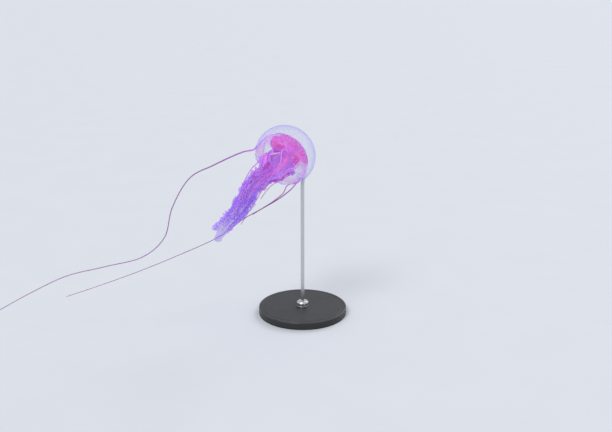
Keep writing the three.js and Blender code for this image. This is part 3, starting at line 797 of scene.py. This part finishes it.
FOUR_EDGES = (np.s_[0], np.s_[-1], np.s_[:, 0], np.s_[:, -1])
curtains = Surface(*skin.marks)
out = np.linspace(0, 1, CURTAIN_COLUMNS)[None, :] ** 0.8
for arm in range(ARMS):
    run = np.linspace(0, 1, CURTAIN_ROWS)[:, None]
    place = CURTAIN_START + (ARM_REACH[arm] - CURTAIN_START - 0.01) * run
    for hand in (-1, 1):
        root = arm_face(arm, place, hand * CURTAIN_ROOT, 0)
        _, way, outward, sideways = arm_axes(arm, place)
        tip_over = CURTAIN_LEAN + 0.5 * np.sin(19 * place + 1.3 * arm + 2 * hand)[..., None]
        rising = outward * np.cos(tip_over) + hand * sideways * np.sin(tip_over)
        folding = hand * sideways * np.cos(tip_over) - outward * np.sin(tip_over)
        fold = math.tau * CURTAIN_WAVES * place + 2.4 * np.sin(15 * place + arm - hand)
        fold = fold + 1.1 * np.sin(39 * place + hand)
        uneven = swing(np.sin(25 * place + 1.9 * arm - 1.4 * hand), LEAST_RUFFLE)
        width = blend(CURTAIN_WIDTH, run) * swing(np.cos(31 * place + arm + hand), 0.8)
        lush = rise(0.38, 0.55, run) * rise(1, 0.8, run)
        width = width * (1 + (CURTAIN_LUSH[arm] - 1) * lush)
        depth = blend(CURTAIN_FOLD, run) * uneven * out**1.6
        middle = root + rising * (width * out)[..., None]
        middle = middle + folding * (depth * np.sin(fold))[..., None]
        middle = middle - way * (CURTAIN_FOLDED_BACK * depth * np.sin(2 * fold))[..., None]
        half_sheet = folding * (FRILL_THICKNESS * (1 - 0.45 * out) / 2)[..., None]
        patches = swing(np.sin(57 * place + 3 * arm + hand))
        lower = rise(0.1, 0.8, run)
        clearer = CURTAIN_LOWER_CLEARER * lower + CURTAIN_WISPS_CLEARER * rise(0.4, 0.95, run)
        density = (CURTAIN_DENSITY - CURTAIN_EDGE_CLEARER * out) * (1 - clearer)
        pink = CURTAIN_PINK - CURTAIN_LOWER_BLUER * lower + CURTAIN_EDGE_PINK * out**6 * patches
        marks = {"flesh": density + CREST_DENSITY * out**8, "blush": pink, "crest": out**5}
        left = 0.12 * (2 * arm + (hand > 0))
        faces = []
        for way_out, at in ((1, 0), (-1, 0.055)):
            spot = (left + at, 0.01, 0.05, 0.97)
            faces.append(curtains.grid(middle + way_out * half_sheet, spot, **marks))
        for number, edge in enumerate(FOUR_EDGES):
            strip_of = np.stack([faces[0][edge], faces[1][edge]], 1)
            curtains.face(strip_of, (left + 0.107 + 0.003 * number, 0.01, 0.002, 0.97))
curtains.piece("frill_curtains", tissue)

# ---- warts
# The bell's outside is sprinkled with small raised warts of stinging cells. Each is a low
# oval dome, a little longer towards the crown, sunk into the jelly by its lower edge.

WARTS = 1000
WART_SIZES = (0.20, 0.55)
WART_HEIGHT = 0.32
WART_SUNK = 0.12
WART_RINGS = ((1.0, WART_SUNK), (0.92, -0.35 * WART_HEIGHT), (0.5, -0.85 * WART_HEIGHT))
WART_OVAL = 1.3
WART_JITTER = 0.03
WART_SIDES = 8
WART_COLOUR = (0.52, 0.16, 0.50, 1)

random.seed(7)
warts = bpy.data.meshes.new("bell_warts")
wart_points, wart_faces = [], []
golden_turn = math.pi * (3 - math.sqrt(5))
lowest = math.cos(RIM_TILT - 0.06)
for number in range(WARTS):
    tilt = math.acos(1 - (1 - lowest) * (number + 0.5) / WARTS)
    tilt += random.uniform(-WART_JITTER, WART_JITTER)
    angle = golden_turn * number + random.uniform(-WART_JITTER, WART_JITTER)
    size = random.uniform(*WART_SIZES)
    full = size / WART_SIZES[1]
    off_axis = BELL_RADIUS * max(math.sin(tilt), 0.05)
    first = len(wart_points)
    wart_points.append(outside(abs(tilt), angle, WART_SUNK))
    for width, depth in WART_RINGS:
        for side in range(WART_SIDES):
            turn = math.tau * side / WART_SIDES
            down_skin = WART_OVAL * size * width * math.cos(turn) / BELL_RADIUS
            round_skin = size * width * math.sin(turn) / off_axis
            wart_points.append(outside(tilt + down_skin, angle + round_skin, depth * full))
    wart_points.append(outside(tilt, angle, -WART_HEIGHT * full))
    rings = first + 1 + np.arange(3 * WART_SIDES).reshape(3, WART_SIDES)
    for side in range(WART_SIDES):
        after = (side + 1) % WART_SIDES
        wart_faces.append((first, rings[0][after], rings[0][side]))
        for low, high in zip(rings, rings[1:]):
            wart_faces.append((low[side], low[after], high[after], high[side]))
        wart_faces.append((rings[2][side], rings[2][after], len(wart_points) - 1))
warts.from_pydata((in_frame(np.array(wart_points)) * MM).tolist(), [], wart_faces)
wart_finish = Finish("stinging_warts", {"Roughness": 0.3, "Alpha": 0.3, "IOR": JELLY_IOR})
wart_finish.feed(base_color=wart_finish.tint(wart_finish.noise(1.5), WART_COLOUR, CLEAR_JELLY))
finished(warts, wart_finish)

# ---- rhopalia
# Eight sense organs, small clubs that hang in the notch between the two flaps of a pair.
# Each has a dense brownish stalk and a pale grain of crystal at its tip.

RHOPALIUM_LENGTH = 2.0
RHOPALIUM_RADIUS = 0.42
RHOPALIUM_ROOT = 0.7
RHOPALIUM_STALK_WIDTH = 0.62
RHOPALIUM_ROWS = 14
RHOPALIUM_SIDES = 14
RHOPALIUM_STALK = (0.50, 0.20, 0.34, 1)
RHOPALIUM_GRAIN = (0.86, 0.74, 0.66, 1)

organs = Surface("grain")
for number in range(TENTACLES):
    angle = math.tau / TENTACLES * (number + 0.5)
    run = np.linspace(0, 1, RHOPALIUM_ROWS)[:, None]
    turn = once_round(RHOPALIUM_SIDES)
    size = RHOPALIUM_RADIUS * between(RHOPALIUM_STALK_WIDTH, 1, rise(0.3, 0.75, run))
    size = size * round_end(0.7, 1, run)
    tilt = RIM_TILT + (LAPPET_NOTCH - RHOPALIUM_ROOT + RHOPALIUM_LENGTH * run) / mean_radius
    sideways = size * np.cos(turn) / (BELL_RADIUS * math.sin(RIM_TILT))
    club = in_frame(outside(tilt, angle + sideways, LAPPET_THICKNESS / 2 + size * np.sin(turn)))
    low = number / TENTACLES
    numbers = organs.grid(club, (0.01, low, 0.8, 0.11), closed=True, grain=rise(0.6, 0.8, run))
    for row, left in ((0, 0.84), (-1, 0.92)):
        spot = (left, low, 0.06, 0.11)
        organs.fan(numbers[row], club[row].mean(0), spot, grain=float(row != 0))
organ_finish = Finish("sense_organs", {"Roughness": 0.35})
organ_colour = organ_finish.tint(organ_finish.mark("grain"), RHOPALIUM_STALK, RHOPALIUM_GRAIN)
organ_colour = organ_finish.tint(organ_finish.noise(0.5) * 0.4, organ_colour, FLESH_PINK)
organ_finish.feed(base_color=organ_colour)
organs.piece("rhopalia", organ_finish)

# ---- gonads
# Four ripe gonads lie on the cavity's roof between the throat's corners. Each is a thick
# pleated pink ribbon that runs in a horseshoe, on a thin membrane that fills the plate.
# The pleats carry painted shade in their troughs and a painted highlight on their crests,
# and the gonads have a painted glow in their own colour.

GONAD_HALF_ANGLE = math.radians(41)
GONAD_TILTS = (math.radians(21), math.radians(58))
GONAD_SPAN = (15.0, 21.0)
GONAD_WAIST = 0.16
GONAD_BOW = 0.12
GONAD_THICKNESS = 7.0
GONAD_EDGE = 1.1
EDGE_STEEPNESS = 2.2
ROOF_GAP = 0.25
MEMBRANE_THICKNESS = 0.3
GONAD_COLUMNS = 108
GONAD_ROWS = 66
HORSESHOE_RADIUS = 10.5
HORSESHOE_HALF_WIDTH = 4.3
HORSESHOE_LEGS = math.radians(118)
HORSESHOE_CENTRE = 0.20
HORSESHOE_SIZES = (1, 1.03, 0.76, 1)
HORSESHOE_WOBBLE = 0.7
VEIL_WIDTH = 4.0
PLEATS = 3.3
PLAIN_SWELL = 0.50
PLEAT_SWELL = 0.38
SMALL_SWELL = 0.12
MEMBRANE_COVER = 0.06
VEIL_COVER = 0.36
RIBBON_COVER = 0.58
GONAD_PINK = (0.90, 0.12, 0.58, 1)
GONAD_PAINTED_HIGHLIGHT = (0.98, 0.45, 0.84, 1)
GONAD_PAINTED_SHADE = (0.56, 0.04, 0.38, 1)
MEMBRANE = (0.76, 0.22, 0.70, 1)

# The emission is a painted glow: the gonads light themselves in their own colour, so their shaded
# sides stay bright.
subsurface_and_painted_glow = {"Subsurface Weight": 0.4, "Subsurface Scale": 0.005, "Emission Strength": 0.22}
ripe = Finish("ripe_gonad", {"Roughness": 0.3, "IOR": 1.38, **subsurface_and_painted_glow})
pleat_shade_and_highlight, swollen, filled = (ripe.mark(name) for name in ("pleat_shade_and_highlight", "swollen", "filled"))
grain = ripe.noise(0.7)
# Painted shade and highlight: the pleats' troughs are coloured deep pink and their crests pale
# pink.
ripe_colour = ripe.tint(pleat_shade_and_highlight, GONAD_PAINTED_SHADE, GONAD_PINK)
ripe_colour = ripe.tint(pleat_shade_and_highlight**3.0 * (0.35 + grain * 0.9), ripe_colour, GONAD_PAINTED_HIGHLIGHT)
ripe_colour = ripe.tint(swollen, MEMBRANE, ripe_colour)
cover = MEMBRANE_COVER + filled * VEIL_COVER + swollen * RIBBON_COVER
ripe.feed(base_color=ripe_colour, emission_color=ripe_colour, alpha=cover)
ripe.bump(grain, 0.2)
aside = np.linspace(-1, 1, GONAD_COLUMNS + 1)[None, :]
out = np.linspace(0, 1, GONAD_ROWS + 1)[:, None]
for number in range(ARMS):
    narrower = 1 - GONAD_WAIST * np.cos(out * math.tau) ** 2
    angle = heading(number + 0.5) + aside * GONAD_HALF_ANGLE * narrower
    tilt = between(*GONAD_TILTS, out + GONAD_BOW * aside**2 * (1 - out))
    window = (1 - aside**2) * (1 - (2 * out - 1) ** 2)
    window = np.clip(window * EDGE_STEEPNESS, 0, 1) ** 0.5
    off_middle, out_from = GONAD_SPAN[0] * aside, GONAD_SPAN[1] * (out - HORSESHOE_CENTRE)
    away = np.hypot(off_middle, out_from) / HORSESHOE_SIZES[number]
    around = np.arctan2(off_middle, out_from)
    wobble = HORSESHOE_WOBBLE * np.sin(5 * around + number)
    ribbon_share = np.exp(-(((away - HORSESHOE_RADIUS - wobble) / HORSESHOE_HALF_WIDTH) ** 4))
    ribbon_share = ribbon_share * rise(HORSESHOE_LEGS + 0.3, HORSESHOE_LEGS - 0.1, np.abs(around))
    phase = math.tau * PLEATS * around + 1.3 * np.sin(0.75 * away + 1.7 * number)
    phase = phase + 0.8 * np.sin(3 * around)
    pleats = swing(np.cos(phase)) ** 0.8
    small = swing(np.cos(2.1 * away + 2.5 * np.sin(phase) + number))
    swell = window * ribbon_share * (PLAIN_SWELL + PLEAT_SWELL * pleats + SMALL_SWELL * small)
    thickness = GONAD_EDGE * window**0.3 + (GONAD_THICKNESS - GONAD_EDGE) * swell
    plate = Surface("pleat_shade_and_highlight", "swollen", "filled")
    # This pleat mark is painted light: low in the troughs for painted shade, high on the crests for
    # a painted highlight.
    shade = np.clip(0.15 + 0.85 * pleats * (0.6 + 0.4 * small), 0, 1)
    veil_edge = HORSESHOE_RADIUS + HORSESHOE_HALF_WIDTH
    veil = rise(0.0, 0.8, window) * rise(veil_edge + VEIL_WIDTH, veil_edge, away)
    marks = {"pleat_shade_and_highlight": shade, "swollen": rise(0.08, 0.35, ribbon_share * window), "filled": veil}
    on_roof = cavity(tilt, angle, ROOF_GAP + 0.5 * swell * (1 - pleats))
    hanging = cavity(tilt, angle, ROOF_GAP + MEMBRANE_THICKNESS + thickness)
    back = plate.grid(in_frame(on_roof), (0, 0, 1, 0.45), **marks)
    front = plate.grid(in_frame(hanging), (0, 0.5, 1, 0.45), **marks)
    for strip, edge in enumerate(FOUR_EDGES):
        plate.face(np.stack([back[edge], front[edge]]), (0, 0.96 + 0.01 * strip, 1, 0.005))
    plate.piece(f"gonad_ribbon_{number + 1}", ripe, f"gonad_{number + 1}")

# ---- stand base
# A disc turned from steel plate and powder coated satin black, with rounded edges and a
# shallow line near its rim. It stands on a ring round a hollow cut in its underside.

BASE_RADIUS = 60.0
BASE_THICKNESS = 10.0
BASE_ROUNDING = 1.1
BASE_UNDER_ROUNDING = 0.6
BASE_HOLLOW = (53, 0.8)
BASE_RING = 54
BASE_LINE = 55.2
BASE_LINE_DEPTH = 0.35
BASE_SIDES = 128
COAT_TONES = ((0.010, 0.010, 0.012, 1), (0.020, 0.020, 0.023, 1))
COAT_WORN = (0.12, 0.12, 0.125, 1)


def rounded(centre, radius, start, end, count=5):
    """Points of a profile round a corner, from one angle to another in degrees."""
    turns = np.radians(np.linspace(start, end, count))
    return list(zip(centre[0] + radius * np.cos(turns), centre[1] + radius * np.sin(turns)))


def eased(profile, gap=0.4):
    """The profile with a point just after and just before each corner, so flats shade flat."""
    points = [profile[0]]
    for start, end in zip(profile, profile[1:]):
        length = math.dist(start, end)
        shares = (gap / length, 1 - gap / length, 1) if length > 3 * gap else (1,)
        points += [tuple(between(a, b, share) for a, b in zip(start, end)) for share in shares]
    return points


def lathe(surface, profile, sides, spot, place=lambda points: points, **marks):
    """Turns a profile of (radius, height) about the stand's axis, or where place puts it."""
    radius, height = np.array(eased(profile), float).T[:, :, None]
    points = polar(radius, once_round(sides), height)
    return surface.grid(place(points), spot, closed=True, **marks)


under = BASE_RADIUS - BASE_UNDER_ROUNDING
corner = (BASE_RADIUS - BASE_ROUNDING, BASE_THICKNESS - BASE_ROUNDING)
base_profile = [
    BASE_HOLLOW,
    (BASE_RING, 0),
    *rounded((under, BASE_UNDER_ROUNDING), BASE_UNDER_ROUNDING, -90, 0),
    *rounded(corner, BASE_ROUNDING, 0, 90, 7),
    *rounded((BASE_LINE, BASE_THICKNESS), BASE_LINE_DEPTH, 0, -180, 7),
    (30, BASE_THICKNESS),
]
disc = Surface("edge")
past_corner = np.clip(np.array(eased(base_profile)) - corner, 0, None).prod(1, keepdims=True)
edge_marks = np.minimum(1, 3 * past_corner)
rings = lathe(disc, base_profile, BASE_SIDES, (0, 0, 0.8, 0.4), edge=edge_marks)
disc.fan(rings[0], (0, 0, BASE_HOLLOW[1]), (0, 0.45, 0.5, 0.5))
disc.fan(rings[-1], (0, 0, BASE_THICKNESS), (0.5, 0.45, 0.5, 0.5))
coat = Finish("satin_black_coat", {"IOR": 1.5})
peel, scuffs = coat.noise(0.6, 2.0), coat.noise(7.0, 5.0)
coat_colour = coat.tint(coat.noise(14.0), *COAT_TONES)
coat_colour = coat.tint(coat.mark("edge") * scuffs**2.0, coat_colour, COAT_WORN)
coat.feed(base_color=coat_colour, roughness=0.34 + scuffs * 0.22)
coat.bump(peel, 0.06)
disc.piece("base_disc", coat, "stand_base")

# ---- stand collar
# A collar turned from stainless steel clamps the rod's foot to the base. It has a bevelled
# top, a fine groove near its foot and a hexagon socket screw in its side.

COLLAR_RADIUS = 8.0
COLLAR_BOTTOM = BASE_THICKNESS + 0.02
COLLAR_TOP = 17.3
COLLAR_BEVEL = 2.0
COLLAR_BORE = 2.55
COLLAR_CHAMFER = 0.3
COLLAR_GROOVE = ((1.0, 0), (1.1, 0.2), (1.3, 0.2), (1.4, 0))
COLLAR_SIDES = 72
SCREW_RADIUS = 1.5
SCREW_DEPTH = 1.5
SCREW_SOCKET = 0.8
SOCKET_DEPTH = 0.7
SCREW_RAISED = 0.6
SCREW_SIDES = 24
SCREW_HEADING = math.radians(-70)
TURNED_PITCH = 0.25
STEEL_DARK = (0.50, 0.50, 0.51, 1)
STEEL_LIGHT = (0.78, 0.78, 0.79, 1)

collar_profile = [
    (COLLAR_BORE, COLLAR_BOTTOM),
    (COLLAR_RADIUS - COLLAR_CHAMFER, COLLAR_BOTTOM),
    (COLLAR_RADIUS, COLLAR_BOTTOM + COLLAR_CHAMFER),
    *[(COLLAR_RADIUS - cut, COLLAR_BOTTOM + at) for at, cut in COLLAR_GROOVE],
    (COLLAR_RADIUS, COLLAR_TOP - COLLAR_BEVEL - 0.2),
    (COLLAR_RADIUS - 0.08, COLLAR_TOP - COLLAR_BEVEL + 0.02),
    (COLLAR_RADIUS - COLLAR_BEVEL + 0.1, COLLAR_TOP - 0.1),
    (COLLAR_RADIUS - COLLAR_BEVEL - 0.2, COLLAR_TOP),
    (COLLAR_BORE + COLLAR_CHAMFER, COLLAR_TOP),
    (COLLAR_BORE, COLLAR_TOP - COLLAR_CHAMFER),
    (COLLAR_BORE, COLLAR_BOTTOM),
]


def sideways_screw(points):
    """Puts a screw drawn upright into the collar's side."""
    out = np.array([math.cos(SCREW_HEADING), math.sin(SCREW_HEADING), 0.0])
    level = np.array([-out[1], out[0], 0.0])
    height = (COLLAR_BOTTOM + COLLAR_TOP - COLLAR_BEVEL) / 2 + SCREW_RAISED
    head = np.array([0, 0, height]) + out * COLLAR_RADIUS
    return head + points @ np.array([level, [0, 0, 1], out])


def steel_finish(name, lines):
    """Brushed stainless steel, whose fine lines run the way that lines lays the noise."""
    steel = Finish(name, {"Metallic": 1.0, "Anisotropic": 0.4})
    brushing = lines(steel)
    steel_colour = steel.tint(brushing, STEEL_DARK, STEEL_LIGHT)
    steel_colour = steel.tint(steel.noise(9.0) * 0.35, steel_colour, STEEL_DARK)
    steel.feed(base_color=steel_colour, roughness=0.2 + brushing * 0.2)
    steel.bump(brushing, 0.015)
    return steel


def turned_lines(steel):
    """Fine rings round the stand's axis, as a lathe leaves them."""
    apart = steel.node("ShaderNodeSeparateXYZ", (), {0: steel.place()}, output=2)
    flat = steel.place((1, 1, 0))
    away = steel.node("ShaderNodeVectorMath", {"operation": "LENGTH"}, {0: flat}, output=1)
    where = steel.node("ShaderNodeCombineXYZ", (), {0: away, 1: apart})
    sockets = {"Vector": where, "Scale": 1 / (TURNED_PITCH * MM), "Detail": 2.0}
    return steel.node("ShaderNodeTexNoise", (), sockets)


ring_finish = steel_finish("turned_steel", turned_lines)
collar = Surface()
lathe(collar, collar_profile, COLLAR_SIDES, (0, 0, 1, 0.6))
turn = once_round(SCREW_SIDES)
hexagon = math.cos(math.pi / 6) / np.cos(np.mod(turn, math.pi / 3) - math.pi / 6)
screw_rows = (
    (SCREW_RADIUS, -SCREW_DEPTH, 1),
    (SCREW_RADIUS, 0.1, 1),
    (SCREW_RADIUS - 0.2, 0.25, 1),
    (SCREW_SOCKET + 0.1, 0.25, 1),
    (SCREW_SOCKET, 0.2, hexagon),
    (SCREW_SOCKET, -SOCKET_DEPTH, hexagon),
)
screw_points = np.stack([polar(width * shape, turn, height) for width, height, shape in screw_rows])
rings = collar.grid(sideways_screw(screw_points), (0, 0.65, 0.5, 0.3), closed=True)
for row, height in ((0, -SCREW_DEPTH), (-1, -SOCKET_DEPTH - 0.1)):
    spot = (0.55 - 0.2 * row, 0.65, 0.2, 0.3)
    collar.fan(rings[row], sideways_screw(np.array([0, 0, height])), spot)
collar.piece("clamp_collar", ring_finish, "stand_collar")

# ---- stand rod and cup
# A straight rod of brushed stainless steel, whose top is flared into a small cup. The cup is
# hollowed to the bell's curve, and a thin pad of pale silicone lines it. The pad has a
# painted glow, which keeps it pale in the shade under the bell.

ROD_RADIUS = 2.5
ROD_ROUNDING = 0.3
ROD_SIDES = 64
FLARE_LENGTH = 13.0
FLARE_STEM = 9.0
FLARE_BOWL = 6.5
FLARE_ROWS = 26
CUP_RADIUS = 6.5
CUP_WALL = 0.8
CUP_CLEARANCE = 0.4
PAD_RADIUS = 6.3
PAD_GAP = 0.04
PAD_SIDES = 48
SILICONE_TONES = ((0.88, 0.89, 0.93, 1), (0.80, 0.80, 0.88, 1))

half_axes = np.array([BELL_RADIUS, BELL_RADIUS, CROWN_HEIGHT])
above_base = AXES @ [-BELL_CENTRE[0], -BELL_CENTRE[1], 0.0]
start, climb = above_base / half_axes, AXES[:, 2] / half_axes
middle_root = start @ climb / (climb @ climb)
half_chord = math.sqrt(middle_root**2 - (start @ start - 1) / (climb @ climb))
seat = above_base - AXES[:, 2] * (middle_root + half_chord)
outward = seat / half_axes**2 / np.linalg.norm(seat / half_axes**2)
level = np.cross(AXES[:, 2], outward)
level = level / np.linalg.norm(level)
CUP_AXES = np.array([level, np.cross(outward, level), outward])


def under_bell(points):
    """Points drawn about the cup's axis, whose heights are how far off the bell they are."""
    flat = seat + points[..., :2] @ CUP_AXES[:2]
    rays, way = flat / half_axes, outward / half_axes
    half_step = (rays @ way) / (way @ way)
    reach = np.sqrt(half_step**2 - ((rays**2).sum(-1) - 1) / (way @ way)) - half_step
    return in_frame(flat + (reach + points[..., 2])[..., None] * outward)


def on_rod(points):
    """Points drawn about the rod's axis, turned so that they line up with the cup's."""
    across = (CUP_AXES[0] @ AXES) * (1, 1, 0)
    along = (CUP_AXES[1] @ AXES) * (1, 1, 0)
    return points @ np.array([across, along / np.linalg.norm(along), [0, 0, 1]])


turn = once_round(ROD_SIDES)
seat_height = in_frame(seat)[2]
flare_foot = seat_height - FLARE_LENGTH
foot_at = (ROD_RADIUS - ROD_ROUNDING, BASE_THICKNESS + 0.1 + ROD_ROUNDING)
foot = rounded(foot_at, ROD_ROUNDING, -90, 0, 3)
stem_profile = eased([*foot, (ROD_RADIUS, flare_foot)])
rod_rows = [on_rod(polar(radius, turn, height)) for radius, height in stem_profile]
for share in np.linspace(0, 1, FLARE_ROWS)[1:]:
    stem = on_rod(polar(ROD_RADIUS, turn, flare_foot + FLARE_STEM * share))
    radius = between(ROD_RADIUS, CUP_RADIUS, share**2.6)
    below = CUP_CLEARANCE + CUP_WALL + FLARE_BOWL * (1 - share) ** 1.4
    bowl = under_bell(polar(radius, turn, below))
    rod_rows.append(between(stem, bowl, rise(0, 1, share)))
cup_rows = [(CUP_RADIUS + 0.12, CUP_CLEARANCE + 0.5), (CUP_RADIUS + 0.05, CUP_CLEARANCE + 0.1)]
cup_rows += [(CUP_RADIUS * share, CUP_CLEARANCE) for share in np.linspace(0.98, 0.08, 12)]
rod_rows += [under_bell(polar(radius, turn, height)) for radius, height in cup_rows]
rod = Surface()
rings = rod.grid(np.stack(rod_rows), (0, 0, 1, 0.85), closed=True)
rod.fan(rings[0], (0, 0, BASE_THICKNESS + 0.1), (0, 0.88, 0.1, 0.1))
rod.fan(rings[-1], under_bell(np.array([0, 0, CUP_CLEARANCE])), (0.12, 0.88, 0.1, 0.1))


def drawn_lines(steel):
    """Fine lines along the rod."""
    return steel.noise(0.16, 2.0, (1, 1, 0.02))


drawn_finish = steel_finish("brushed_steel", drawn_lines)
rod.piece("rod_and_cup", drawn_finish, "stand_rod")

pad = Surface()
pad_profile = [(PAD_RADIUS * share, PAD_GAP) for share in np.linspace(0.1, 0.98, 8)]
pad_profile += [(PAD_RADIUS * share, CUP_CLEARANCE - PAD_GAP) for share in np.linspace(1, 0.1, 8)]
rings = lathe(pad, pad_profile, PAD_SIDES, (0, 0, 1, 0.5), under_bell)
for row, height in ((0, PAD_GAP), (-1, CUP_CLEARANCE - PAD_GAP)):
    pad.fan(rings[row], under_bell(np.array([0, 0, height])), (0.3 - 0.3 * row, 0.55, 0.2, 0.2))
# The pad's emission is a painted glow that makes up for the shade it sits in under the bell.
silicone = Finish("pale_silicone_painted_glow", {"Roughness": 0.4, "IOR": 1.41, "Emission Strength": 0.35})
silicone_colour = silicone.tint(silicone.noise(2.0), *SILICONE_TONES)
silicone.feed(base_color=silicone_colour, emission_color=silicone_colour)
pad.piece("cup_pad", silicone)

# ---- floor, lights and camera
# A plain pale floor under soft studio light: a broad lamp high on the left, a weaker one
# from behind that shines through the jelly, and an even pale surround.

FLOOR_SIZE = 60.0
FLOOR_TONES = ((0.60, 0.62, 0.65, 1), (0.63, 0.65, 0.68, 1))
SURROUND = (0.90, 0.93, 1.0, 1)
SURROUND_STRENGTH = 0.72
LAYERS_SEEN_THROUGH = 48
LENS = 50.0
SENSOR_WIDTH = 36.0
LAMPS = (("key_lamp", (-0.55, -0.75, 1.1), 24, 1.35), ("back_lamp", (0.6, 0.8, 0.75), 30, 0.9))
LOOK_AT = (4.703, -36.894, 150.118)
CAMERA_AT = (4.703, -1085.482, 470.704)

half = FLOOR_SIZE / 2
floor_corners = [(-half, -half, 0), (half, -half, 0), (half, half, 0), (-half, half, 0)]
floor_mesh = bpy.data.meshes.new("studio_floor")
floor_mesh.from_pydata(floor_corners, [], [(0, 1, 2, 3)])
floor_finish = Finish("pale_floor", {"Roughness": 0.85})
floor_finish.feed(base_color=floor_finish.tint(floor_finish.noise(90.0), *FLOOR_TONES))
floor_mesh.materials.append(floor_finish.material)
placed("studio_floor", floor_mesh)

for name, direction, spread, strength in LAMPS:
    lamp = bpy.data.lights.new(name, "SUN")
    lamp.angle, lamp.energy = math.radians(spread), strength
    hung = placed(name, lamp)
    hung.location = direction
    hung.rotation_euler = Vector(direction).to_track_quat("Z", "Y").to_euler()

surround = bpy.data.worlds.new("studio_surround")
surround.use_nodes = True
light = surround.node_tree.nodes["Background"].inputs
light["Color"].default_value, light["Strength"].default_value = SURROUND, SURROUND_STRENGTH
scene = bpy.context.scene
scene.world = surround
scene.view_settings.view_transform = "Standard"
scene.cycles.transparent_max_bounces = LAYERS_SEEN_THROUGH

view = bpy.data.cameras.new("camera")
view.lens, view.sensor_width = LENS, SENSOR_WIDTH
camera = placed("camera", view)
camera.location = Vector(CAMERA_AT) * MM
sight = Vector(LOOK_AT) - Vector(CAMERA_AT)
camera.rotation_euler = sight.to_track_quat("-Z", "Y").to_euler()
scene.camera = camera
